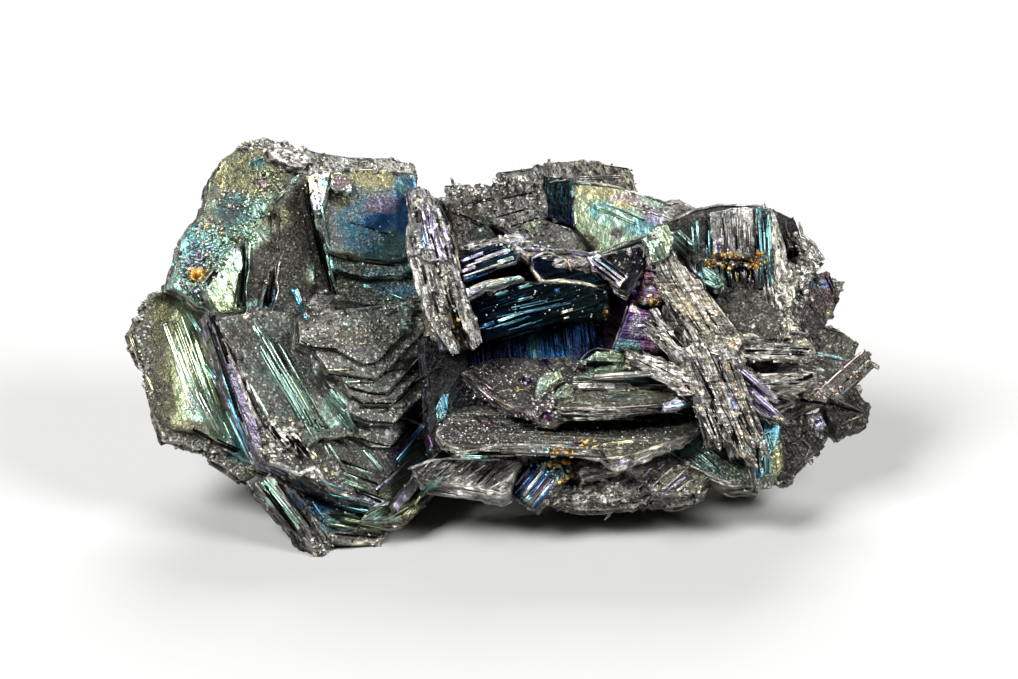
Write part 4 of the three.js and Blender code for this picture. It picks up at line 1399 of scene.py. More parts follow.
@dataclass
class Terraces(Group):
    """The terraced plate in the bowl: a thick base and six steps, each smaller than the one below."""

    name: str = "terraces"
    seed: int = 12
    rib_density: float = 0.2
    skins: str = """
    base SILVER,SILVER 1,.5 .9 .8 LILAC .7 .2 5 grain=.47,.88 fibres=.5;
    broad MINT,SILVER 1,.3 .86 1.1 SILVER .8 .35 3 grain=.47,.88;
    step SILVER,MINT 1,-.4 .85 1.75 SILVER .5 .2 3 grain=.9,-.35;
    strip LILAC,LILAC 1,0 .1 .4 LILAC .5 .08 2 grain=.47,.88 lined=.15;
    facet LILAC,SILVER 1,0 .45 .75 SILVER .8 .12 2 grain=.9,.3 lined=.1"""
    plates: str = """
    base 1 .45,.4,.8 3.1 | 20.8,31.2 24,30.5 33,31 43.5,34 44.5,40.5 43.8,45.4 39.9,51 36,49.9 33.2,48.6 30.2,47.2
      27.2,45.8 26,43.8 23.3,37.8;
    broad 1.9 .45,.4,.8 1.2 | 21.9,31.8 27,31 43,33 44.4,38.6 39.2,44.5 37,44.4 35.5,43.4 33.6,43.9 32.5,43.6 31,44.6
      29,44.6 27.4,42.4 25.2,38.4 23.5,34.8;
    step -.4 .45,.4,.8 1.4 | 31.5,33 43,33 44.4,36.6 42,39.8 39.6,42.2 36.6,41.9 34.6,40.9 32,37;
    step .1 .45,.4,.8 1.6 | 31,32.5 43,32 44.2,35.4 41.4,38 39.4,40.3 37,40.2 35.3,39.4 32.5,35.8;
    step .7 .45,.4,.8 1.6 | 30.5,32 42.5,31 43.3,34.6 40.6,37.4 38.8,39.3 37,39.2 35.2,38.6 31.5,34.8;
    step 1.5 .45,.4,.8 1.8 | 30,31.8 42,30.5 42.4,33 39.4,36.4 37.6,37.8 35,37.4 33,37 31.2,34.4;
    step 2.2 .45,.4,.8 2 | 30,31.5 41.5,30 41,32.8 39.2,34.6 37.8,36.2 36.5,36.4 33.8,34.9 31.4,34.7 30.2,34.2;
    strip 5 .45,.4,.8 .8 | 20.9,31.2 21.7,31.2 23.2,34.6 24.7,38.6 25.8,41.6 26.8,45 26.6,46 25.5,44 24.4,41 23.3,38
      22.4,35.5 21.6,33.6;
    facet 3.4 .3,.35,.89 1 | 35.6,49.9 36.6,49.2 38.2,49.7 39.9,50.3 39.9,51.1 37.6,50.8;
    facet 3.3 .6,.3,.74 1 | 39.5,50.2 40.4,48.8 41.6,47.4 42.4,46.6 42.7,47.6 41.2,49.6 39.9,51.1"""
    tints: str = """
    27.6,36.6 1.3,2.6 MINT .6 .55; 29.6,40.2 1.4,2.6 MINT .6 .55; 31,43 1.6,1.6 MINT .6 .8; 30.8,36.9 1.2,1.2 MINT .7
    1.15; 24.4,33.6 1.6,1.6 STRAW .9 .75; 42,42.6 1.8,2.6 INDIGO .35 .25; 40.2,46 1.4,2 VIOLET .6 .5; 41.6,36.6
    1.6,1.2 SILVER .5 .12; 36.4,33.7 4,1.1 STRAW .95 1.4; 30.4,31.6 1.6,.9 SILVER .8 .4; 33.4,41 1.5,1.9 MINT .6 1.4;
    39.4,43.4 1.2,1 SILVER .6 .9; 34.4,47 3,1.4 OLIVE .75 .7"""
    steps: str = """
    30,34 31.4,34.7 33.8,34.9; 37,36.4 37.7,36.3 39.1,34.7; 36,38.3 37.4,38.3 38.7,37.2; 35.2,38.7 37,39.4 38.9,39.5
    42,35.8; 35.3,39.6 36,40.2 39.6,40.3 41.6,38.3 44,36.8; 36,40.8 38.4,40.8; 38.6,40.8 39.6,41.9 41,42.4; 35.6,42.7
    37,43; 35.9,43.7 37,44.2 39.3,44.7 41,42.7 43,40.7; 31.4,42.2 32.8,42.8; 32,44 33.6,43.9 34.8,44.8; 33,37.3
    35.2,37.8 37.4,38"""
    growths: str = """
    edge .5,.9 PINK lift=.12 | 22.4,33.9 23.8,37 25,40 26.2,42.6; MINT .8 1.8 10 .65 rib=.22,.4 | 25.9,33.6,31.9,44
    26.6,33.4,32.4,43.6; SILVER .04 1.6 4 .7 | 26.2,34,31.6,43.6; MINT 1.5 .5 4 .7 rib=.2,.34 | 25.4,32.4,26.3,34;
    MINT 1.4 .2 | 25.2,38.2,27.2,41.8 32.3,44,33.3,46 32.8,44,34.2,46.2; MINT .9 .5 4 | 33.8,41.2,35.2,43
    34.4,41,35.8,43.4 33,38.8,34.6,41; LEMON 1.6 .3 3 | 32.7,36.9,35.4,36.8; MINT 1.7 .3 | 34.4,38.2,36.3,38.1; MINT 2
    .3 | 39.6,33.1,41.2,33.1 40.4,32.4,41.4,32.3; MINT 1.1 .35 4 .6 | 34.6,46.5,38.4,47.8 34,47.8,37.4,49.2
    36.4,44.8,38.6,47.4 33.8,46.9,36.8,48.2; SILVER .03 .3 | 34.4,47.2,38,48.5 34,46,37,47.2 35.6,48.9,38.4,50; LILAC
    1.6 .3 | 38.4,48.4,41,46 37.4,49,38.8,47.8; SILVER 2.2 1.6 12 .3 worn=1 | 26.6,42,29.6,46 28.4,42.6,31,46; SILVER
    .03 1.4 7 .4 | 27,42.2,29.8,45.8 29,43.2,30.8,45.6; LEMON 2.2 1 5 .8 | 30.9,44.8,32,45.9; MAGENTA 1 .9 5 |
    42.4,43,43.2,45 40.8,41.6,42.4,42.4; AZURE .9 .4 3 | 40.6,44.4,42.4,42.4 39.6,46.4,41.8,43.8; SILVER 1.4 .3 3
    lift=.2 | 43.8,32.6,42.9,35.5 44.4,34,43.7,35.4; SILVER 2.2 .9 4 | 38.7,41,39.5,41.6; edge .8,.6 light=1.5 |
    27.2,45.9 30.2,47.3 31.6,46.6 33,48.7 35.8,49.9; flakes 28.4,43.8 2.2,2 80 SILVER 1.9 .12,.45 1 .8; flakes 31.6,47
    2.6,1 50 SILVER 1.7 worn=1 tilt=.8; flakes 34.4,33.6 5,1.6 70 SILVER .9 .06,.2; flakes 31,38 6,5 50 SILVER .9
    .04,.1; flakes 37.5,41 4,5 60 SILVER 1.1 .04,.11; flakes 24.8,31.8 .2,.2 3 STRAW 2 .3,.4 1"""

    def laid(self, surface: Surface, rng: Generator) -> list[Shell]:
        """Lay a dark line, a painted shadow, and a pale one above it, a painted highlight, along each step, then the
        other growths.
        """
        paths = [np.array(row.values) for row in rows(self.steps)]
        # painted shadow: a near-black line along the foot of each step
        dark = [Edge(path, (0.34, 0.22), Tarnish.SILVER, 0.03, 0, 0.03) for path in paths]
        # painted highlight: a pale line along each step's edge
        pale = [Edge(path + (0.1, -0.34), (0.14, 0.1), Tarnish.STRAW, 0.9, 1, 0.05) for path in paths]
        return [line.shell(surface, rng) for line in dark + pale] + super().laid(surface, rng)


@dataclass
class Keel(Group):
    """The plates under the terraces, down to the left tip that the cluster stands on."""

    name: str = "keel"
    seed: int = 13
    rib_density: float = 0.1
    skins: str = """
    strip SILVER,SILVER .6,.8 .5 .55 SILVER .6 .6 8 grain=.6,.85 broken=1;
    teal INDIGO,CYAN 1,.4 .3 .35 SILVER .9 .7 7 grain=.95,.25 lined=.6;
    right INDIGO,LEAF -.3,1 .3 .3 SILVER .8 .3 7 grain=.75,-.6 lined=.8"""
    plates: str = """
    strip 4.2 .5,.3,.81 2.6 | 27.2,47 29.5,48.3 33.8,54.3 32.4,55.7 30.8,53.9 26.2,48;
    teal .4 .3,.5,.81 2.4 | 25,45.5 44.5,44 44.3,48 41.6,51.2 40,51.8 38.4,53.8 37.6,54.5 35,54.2 33.2,54 29.5,48.6;
    right -1.6 .25,.5,.83 2 | 36,52 41,44 44.6,38.5 47.5,36 47,42 45,47.4 40.6,52;
    blade right 6 .5 -.2,.2 | 39.6,51,0 42.4,49.4,-.6 45,47.4,-1.6"""
    tints: str = """
    36.6,53.8 4,1 SILVER .9 1.3; 36,51.6 3.6,.8 MINT .4 .4; 31,49.6 2.4,2 BLUE .1 .35; 33,54.4 1.2,1.2 SILVER .8 .6;
    27.4,49.2 1.2,1.4 MINT .5 1.3; 30.8,52.6 1.2,1.4 SILVER .5 .3; 30.4,48 1,1 INDIGO .3 .15; 41.4,51.2 1,.8 OLIVE .3
    .8"""
    growths: str = """
    MINT 1.87 .8 6 .8 rib=.22,.36 | 26.5,47.7,30.6,52.8; SILVER 1.87 .6 4 .7 rib=.18,.3 | 27.4,48.4,31,53; SILVER .03
    .5 3 .8 | 27.6,47.8,31.4,52.8 26.4,48.2,30.2,53.2; AZURE 1.15 .2 | 29.9,47,30.4,49 31.2,50,32.6,52
    31.8,47.8,34.8,49; CYAN .72 .5 5 .4 | 33,50.4,39,51.6 32.6,49.2,37.6,50.4; LEAF .72 .3 3 | 32.6,52.3,36,52.8
    36,52.8,38.4,53.2 34,51.6,38.6,52.5; SILVER .04 .4 | 32.8,51.2,38.8,52.2 33.4,53.2,38,53.7; LEMON 1.3 .5 3 .7 |
    41,50.6,42.2,49 40.2,51.6,41.2,50.6; CYAN 1.3 .5 4 .7 | 41.6,50,43.6,47.8 42.8,49.2,44.6,47.6; edge .9,.7 STRAW
    1.1 | 33.2,53.9 35,54.1 37.4,54.2 38.4,53.6; flakes 36,53.8 3,.6 40 SILVER 1.4 .1,.3 1 .7; flakes 32.4,54.4 1,1 26
    SILVER 1.6 .1,.36 1 .7; flakes 34,50 5,2 40 SILVER 1.4 .04,.1"""


@dataclass
class UpperWall(Group):
    """The wall behind the bowl, leaning back up to the broken crust along the top left."""

    name: str = "upper_wall"
    seed: int = 14
    grain_density: float = 7.0
    rib_density: float = 0.1
    skins: str = """
    wall OLIVE,MINT -.2,1 .45 .6 SILVER 1 .7 8 grain=.5,.86 lined=.1;
    sliver LEMON,LEAF .3,1 .3 .75 SILVER .8 .4 4;
    curl MINT,LEAF .2,1 .3 .8 SILVER .7 .15 4 grain=.2,1 lined=.1;
    groove SILVER,MINT 0,1 .75 .35 SILVER 1 .4 3 grain=.1,1;
    brown STRAW,SILVER .2,1 .7 .42 SILVER .8 .4 6 grain=.2,1;
    crust SILVER,SILVER 1,0 .7 .9 SILVER 1.1 1 8 broken=1;
    white SILVER,SILVER 1,0 .05 2 SILVER 1.8 .7 3 grain=.9,.4 broken=1"""
    plates: str = """
    wall -3.2 .25,.3,.92 3.4 | 16.7,28.9 17.9,24.4 20.2,21 20.5,19.2 21.6,16 23.9,14 26.5,14.5 31.5,16 31.5,25 31,32
      21,31.5;
    sliver -5.4 .2,.3,.93 .8 | 21,19.5 22.1,16.2 23.2,15.2 24,16.6 23,20 22,21.2;
    curl 1 .3,.2,.93 1 | 20.2,28.4 21.4,26.6 22.2,25.4 23.4,24.4 24.2,25 24.4,26.5 23.9,28 23.7,29.4 24.4,31.2
      21.7,31.6 20.8,30;
    side groove 24.8 .9,.1,.42 .4 | 23.8,-2.4 26,-.6 32.6,.4 32.6,-5 24,-6;
    side groove 27.4 .93,-.15,.35 .4 | 25.4,-2.6 28,-1.2 32,-.4 32,-5 25.6,-6;
    brown -3.4 .42,.1,.9 2 | 27.8,20.4 30.3,17.4 32.6,27.5 33,31 31,32 27.2,31;
    crust -6.8 .05,.6,.8 3 | 23.8,14 26,13.5 29,14.2 31.5,15 35,15.5 39.5,15.6 41.6,16.4 41,18.2 36,17.8 31,17.6
      27,16.6 24.2,15.6;
    white -5.6 .1,.4,.91 1.2 | 26.3,14.4 27.6,14.1 29.6,14.9 30.7,15.8 30.3,16.5 29,16.4 26.9,15.4"""
    tints: str = """
    27.4,28.6 3.4,2.8 OLIVE .7 .3; 24.6,17.4 2.4,2.4 OLIVE .4 .594; 25.5,16.2 .8,.5 CYAN .2 .264; 25.9,18.4 .8,1 PINK
    .3 .66; 23.4,21.2 2,2 CYAN .5 .4; 25.8,20.7 .6,1 MINT .1 .858; 24.6,22.8 .5,.9 MINT .1 .858; 27.6,21.6 1.6,1.1
    OLIVE .4 .462; 20.2,24.6 2.4,2.6 CYAN .3 1.1; 20.4,25.2 .6,.6 LILAC .1 .924; 20.6,22.6 .7,.6 STRAW .3 .66; 19,28.6
    2,1.2 MINT .3 .75; 25.9,24.1 1.2,.8 MINT .35 1.05; 27.4,26.6 2.4,3 STRAW .9 .528; 30.7,29.1 1.1,.8 OLIVE .7 .3;
    26.9,29.6 .6,1.4 BLUE .05 .396; 25.6,30.6 .8,.7 CYAN .2 .396; 31.8,30.2 1.2,1.4 VIOLET .7 .396; 21.9,17 .5,2 LEMON
    .3 .66; 22.5,30.6 1.6,.8 LEAF .2 .528"""
    patches: str = """
    20,24 CYAN; 21.4,25.6 MINT; 19.4,26 LILAC; 20.8,22.8 STRAW; 22,23.6 MINT; 24.4,23.2 LEAF; 21,26.6 OLIVE; 18.6,26.4
    CYAN; 20.2,25.4 LILAC; 25.4,20.6 MINT; 23.2,20.2 SILVER; 26.6,18 OLIVE; 19.4,27.6 SILVER"""
    # the near-black SILVER ribs are painted shadow lines, one along the groove's valley
    growths: str = """
    MINT 1.44 .4 3 .8 | 28.6,18.7,27.2,20 29.9,17.2,28.6,18.4 25.4,20,26.2,21.6 24.3,22.2,24.9,23.6; SILVER .03 .5 4 .8
    | 24.2,24.5,24.1,31 30.5,19,33,29.5 30.7,18,31,22 27.2,27,26.8,31 21.8,27,20.6,28.6; edge .3,.3 MINT 1.3 0 .3 |
    24.9,24 24.8,27 24.5,29 24.8,31.4; edge .25,.25 light=1.3 worn=0 lift=.3 | 27.9,26 27.6,28 27.8,29 27.1,31.4; edge
    .9,.5 AZURE 1.5 0 | 29.2,28.8 29.8,30.2 30.8,32; edge .2,.2 light=2.2 worn=0 lift=.35 | 29.6,28.7 30.2,30.2 31,31.8;
    flakes 26.6,28 .25,.35 4 LEMON 1.2 .2,.35 tilt=.5 lift=.1; flakes 19.9,28.9 .3,.3 4 LILAC 2 .2,.3 tilt=.5 lift=.1;
    flakes 28.4,15.2 1.8,.8 40 SILVER 2.6 .15,.45 1 .7 .05; flakes 26.6,14.2 3,.7 40 SILVER 1.4 worn=1 tilt=.7; flakes
    35.8,16.4 4.6,.8 60 SILVER 1.3 .1,.3 1 .7; flakes 26,22 6,7 160 SILVER .8 .05,.16"""

    def laid(self, surface: Surface, rng: Generator) -> list[Shell]:
        """Lay a patch of small upturned flakes at each spot in its colour, then the other growths."""
        patches = [Flakes(spot, (1.4, 1.2), 46, film, 1.15, (0.08, 0.26), tilt=0.7, lift=0.04)
                   for spot, film in (row.values for row in rows(self.patches))]
        return [patch.shell(surface, rng) for patch in patches] + super().laid(surface, rng)


@dataclass
class BowlBlock(Group):
    """The blocky plate to the right of the groove, its stepped foot and the bowl's floor."""

    name: str = "bowl_block"
    seed: int = 15
    rib_density: float = 0.04
    skins: str = """
    face SILVER,CYAN 1,.45 .6 .75 CYAN .6 .3 3 grain=.95,.2 lined=.05;
    ledge MINT,CYAN 1,.1 .6 .42 CYAN .6 .3 4 grain=.98,.15;
    low OLIVE,CYAN 1,.1 .65 .42 CYAN .5 .3 4 grain=.98,.1;
    pale LEMON,LILAC .1,1 .08 .95 MINT .8 .12 3 grain=.3,1 lined=.1;
    floor SILVER,CYAN 1,0 .8 .55 SILVER .12 .3 4"""
    plates: str = """
    face -2.6 .16,.16,.97 3.4 | 30.9,17.6 33,17 37,16.7 41.6,17.2 42,24.5 40,26.2 36,25.9 32.8,25.2 31.5,21.6;
    ledge -3 .1,.25,.96 3 | 32,24 41.8,24.2 41.4,26.8 40,27.6 36.6,27.9 33.2,27.2;
    low -3.5 .1,.3,.95 3 | 32.4,26 42,26 42.6,30 38,30.6 33.4,30;
    pale -1.6 -.4,.2,.89 1 | 30.5,17.6 31,17.2 32,17 33,17.1 32.8,18.2 32.3,20.1 31.9,21.4 31.3,21.3 30.6,19;
    pale -1.4 .2,.4,.89 .6 | 33,17.3 33.9,17.1 35.1,17.9 35.2,18.8 34,19.1 33.1,18.5;
    floor -2.2 .2,.6,.77 2.4 | 24.5,30.6 33,29.2 42.5,29 44,32.4 42,34 31,34.8 25,33.2"""
    tints: str = """
    40.6,20.4 1.5,3 BLUE .05 1; 39,23.4 2,1.5 AZURE .1 .62; 38,25.4 1.8,.9 CYAN .2 .5; 36.4,22.6 3,2.8 AZURE .5 .7;
    39.8,16.9 2,.5 SILVER .9 .5; 31,18.6 .6,1 LEMON 0 1.09; 32,17.4 .8,.4 PINK 0 1.16; 32.3,18.2 .4,.5 CYAN 0 1.02;
    31.4,19.6 .5,.6 MINT 0 1.02; 32,19.4 .3,.5 LILAC 0 .952; 34.2,18.2 1,.8 PINK .05 1.02; 37,17.6 2.2,1.3 LEMON .45
    .884; 38.5,18 .8,.8 LEMON .1 1.02; 34,20 1.1,.7 OLIVE .3 .544; 38.2,20.6 1.9,1.3 LILAC .2 .7; 38.2,22 1.9,.9 BLUE
    .15 1.1; 40.4,21.6 .9,2.4 BLUE .15 .476; 40.2,18.6 .7,.9 CYAN .2 .612; 39.4,24.6 1.4,1.6 CYAN .3 .374; 34.6,25.8
    1.6,.6 LEAF .3 .306; 37.5,26.6 1.1,.5 PINK .3 .68; 38,27.6 2,1 CYAN .5 .476; 39.6,28.9 2,.8 AZURE .5 .476; 33,26.8
    .6,2 CYAN .15 .612; 39,31.2 .9,.5 CYAN .1 .68; 40.6,32.6 .9,.6 MINT .2 .68"""
    # the near-black SILVER ribs are painted shadow lines, such as the one along the valley beside the groove
    growths: str = """
    MINT 1.35 .3 3 .8 | 31.5,21.6,32.2,24.9 32,20.2,33,24.9 32.5,25,33.4,28.5; BLUE .375 .2 | 34.8,22.1,36,22.4
    36,22.4,37.5,23 37.5,23,38.9,23.3; SILVER .06 .12 1 | 33.4,27,36.6,27.9 36,26.2,39.6,26.6 32.8,25.3,36,26.1;
    SILVER .02 .5 5 .8 | 31,21.4,32.6,27.6 32.2,26,33.4,30; LEAF .525 .3 | 32.6,25,35,25.8 35,25.8,39.6,26.4
    33.6,19.8,35,19.4; MINT 1.65 .3 | 35.4,18.6,36.2,18.8 36,26.4,36.6,26.5 38.3,31.4,39.8,31 40.4,30.6,42.2,31
    40,32.3,41,32.3 39.6,33.1,41.2,33 34.3,32.4,35.3,32.6; CYAN 1.05 .5 | 38.6,29.4,41.2,30.4 36,28.4,38.6,28.8
    40,27,41.6,27.6; flakes 36,21.6 3.4,2.4 40 SILVER size=.04,.12; flakes 36,31.6 6,1.8 60 SILVER 1.4 .06,.2"""


@dataclass
class UprightBlade(Group):
    """The upright blade in the middle: a book of plates whose broken face looks out, split at the foot."""

    name: str = "upright_blade"
    seed: int = 16
    rib_density: float = 1.1
    chip_density: float = 0.9
    skins: str = """
    behind INDIGO,VIOLET 0,1 .3 .3 LILAC .35 .45 5 grain=.1,1;
    broken SILVER,LILAC 1,.4 .3 .85 SILVER .8 .55 5 grain=.3,1 lined=.4 fibres=.6 broken=1;
    smooth SILVER,SILVER 0,1 .35 .95 SILVER 1 .4 5 grain=.3,1 lined=.25 fibres=.7 broken=1"""
    plates: str = """
    blade behind 12 1.2 .1,0 | 41.6,18.8,2.2 41.4,24,4.6 42.8,30,5.6 45.2,35,5;
    blade behind 12 1.6 .1,0 | 43.4,19.8,1.8 44.2,24,4 46,30,5.4 47.6,34.4,5;
    broken 5 -.05,.45,.89 1.6 | 41.1,19.2 42.3,18.8 43.2,19.9 44.2,21.4 45,22.9 45.4,24.9 45.4,26 43,26.4 40.8,25.4
      40.6,24 40.8,22;
    smooth 6.4 -.15,.03,.99 1.2 | 40.7,25 42.2,25.4 43.4,26 44.1,27.4 44.6,29 44.9,31 45.2,33.4 46,34.6 45.9,35.3
      45.1,35.4 44.2,34 43,32.2 42.4,30.8 41.7,29 41.2,27.2;
    smooth 6.1 .15,.03,.99 1.4 | 43.4,25.6 45.4,25.6 45.9,27.4 46.6,29 47.1,31 47.7,31.8 48.2,34.2 47.4,34.9 46.8,33.4
      45.9,31.8 45.2,30 44.6,28.4 44,26.8"""
    tints: str = """
    44.4,25 .7,1.6 LILAC light=1.5; 43.4,20.8 .8,.5 SILVER light=2.2; 41.2,22 .5,2.4 SILVER light=.6; 42,28 .7,2
    SILVER light=1.6"""
    growths: str = """
    SILVER .04 .2 whole=.8 | 42.4,23,42.6,25.8 43.2,23.4,44,26.5 41.6,20.6,41.8,22.6 43.6,21.8,44.2,23.4
    41.2,23.6,41.4,25.2 44.5,24.6,44.9,26 42.8,21,43,22.4 42.2,26.4,42.8,28.6 43.2,29,43.9,31.6 45.2,27,45.9,29.2
    44.8,28.6,45.6,31 45.5,30.8,46.3,33 45.9,32.2,46.6,34.2; LILAC 2.4 .25 | 42.3,20.4,42.6,22.4 44.3,22.6,44.9,24.4
    43.6,24.2,44.3,26.2; LILAC 1.6 1.6 9 .3 rib=.1,.26 | 42.4,20.6,43.4,25.6 43,22,44.4,26.4; AZURE 1.2 .6 |
    42.4,22.6,42.7,25.4; edge .5,.4 STRAW 1 | 42.8,19.3 44.2,21.2 45.1,23 45.6,25.4 46.1,27.4; edge .45,.35 light=1.8
    | 44.6,27.6 45,30 45.4,33 46,35; flakes 43,22.4 1.6,3 60 SILVER 2 .08,.3 1 .7; flakes 44,30 1.6,4 46 SILVER 1.6
    .08,.28 1 .6"""


@dataclass
class CentreFan(Group):
    """The fan of glossy shelves right of the blade, their near-black tone a painted dark reflection, striped on top,
    over the deep blue hollow.
    """

    name: str = "centre_fan"
    seed: int = 17
    rib_density: float = 0.9
    chip_density: float = 0.35
    grain_density: float = 3.0
    # the black and sheer skins' low light is a painted dark reflection on the glossy shelves
    skins: str = """
    black INDIGO,AZURE 1,0 .06 .1 LILAC .7 .2 5 grain=.93,-.36 lined=.8;
    sheer BLUE,CYAN 1,0 .04 .05 CYAN .6 .25 5 grain=.92,-.32 lined=.7;
    pale LILAC,MINT 1,0 .05 1.7 LILAC 1.5 .25 3 grain=.93,-.3 lined=.5;
    crust SILVER,LILAC 1,0 .6 .9 SILVER 1.1 .9 4 grain=.9,-.3 broken=1;
    comb LILAC,SILVER 1,.3 .05 2.5 LILAC 1.2 .3 4 grain=.85,.6 lined=.9"""
    plates: str = """
    plan black 26 .02,.95,-.3 1 | 45.4,.6 47,2 52.6,4 57,3.6 61,2 62,-3 50,-6 45.4,-4;
    plan sheer 30 0,.94,-.32 1.8 | 46.8,1.6 53.8,3.6 60.6,2.6 62,-4 47,-4;
    black 4.9 -.15,.5,.85 .9 | 45.6,25.9 46.6,25.4 48,24.8 50,24.2 51,24.4 51.9,25.4 51.6,26.2 49.4,26.8 47.6,27.4
      46.6,28.1 46,28;
    pale 6.2 0,.35,.94 1.4 | 46.6,28.9 48.2,28.2 50,27.8 52,27.5 52.5,27.9 50.2,28.5 48.6,28.9 47.6,29.4 46.8,29.7;
    sheer 4.7 .02,-.18,.98 1.2 | 46.9,29.9 49,29.2 52.4,28.2 54.2,28.4 58,28.5 60.4,28.9 60.8,30 60,31.6 56,32.2
      52,33.2 48.6,34.2 47.8,33 47.1,31;
    black 4.3 .1,.35,.93 1.2 | 53.2,25.7 54.8,25.3 56,25.9 57.6,26.3 59.6,27.4 60.6,28.4 59.2,28.7 57,28.2 54.4,28
      53.4,27;
    crust 3.5 0,.55,.83 1.2 | 45.6,25 47,24.2 50,23.6 51.4,23.1 52.6,23.4 53.6,24.2 54.6,25 56,25.8 58.6,26 58.8,26.6
      56,26.4 53.4,25.8 51,25 48,25.2;
    comb 5.1 .25,.35,.9 .8 | 58.6,25.7 60,25.4 61.4,26.6 62.9,27.7 61.9,28.9 60.6,27.9 59.4,26.9"""
    growths: str = """
    LILAC 1.6 .3 4 | 46,26.2,48.5,25.3 46,27.3,47.8,26.7 47.4,26.3,51,25.2; MINT 1.5 .3 4 | 48.2,26,51.2,25
    49.6,26.4,51.6,25.8; SILVER 2.2 .12 3 | 46.2,27.8,50.6,26.3 46.4,26.8,50.2,25.4; BLUE 1.2 .3 4 | 46.4,28.2,49,27.2
    47.9,32.8,49.6,32.2 55.4,29.2,56,29; CYAN 2.4 .2 3 .7 | 49.4,32.3,52.3,31.2 49.2,29.6,51.2,29 51.6,28.9,53.4,28.4;
    AZURE 1.2 .5 whole=.3 rib=.08,.2 | 48.2,33.2,53.6,31.5 50.4,30.6,53.6,29.8; AZURE .6 1.2 5 .2 rib=.08,.2 |
    49.4,31.6,57.6,29.8 50,33.4,55,32; SILVER 2.4 .16 | 55.9,31.35,57.4,30.9 56.2,31.9,56.9,31.6; ORANGE 1.2 .4 5 |
    56.6,26,57,27.4; edge 1,.8 STRAW 2.2 lift=.4 | 51.4,24.6 52.4,25.6 53.2,26.8 53.9,27.9 54.3,28.3; edge .8,.3 STRAW
    2.3 lift=.35 | 54,28.2 56,28.1 58,28.3 59.6,28.7; edge .5,.5 PINK 1.6 lift=.3 | 52,27.6 53.2,27.9 54.2,28.3; edge
    .35,.25 LILAC 2 lift=.2 | 53.2,25.9 54.2,25.4 54.9,25.3 56.2,25.9; edge .25,.2 LILAC 2 lift=.15 | 55.2,26.6
    55.6,26.2 56.1,26.1; edge .5,.4 light=1.4 | 58.8,25.5 60.6,24.9 62,24.3 63.4,23.9 66,23.2; edge .3,.25 LILAC 1.6 |
    59.2,25.9 61.6,25.3; SILVER .03 .14 | 59.2,25.9,62.2,28.2 59.8,25.7,62.6,27.9 59.2,26.6,61.6,28.4; flakes 54,30.6
    6,2.2 60 SILVER 1.6 .04,.1; flakes 52.6,24.2 3,.8 40 SILVER 2 .08,.26 1 .7"""


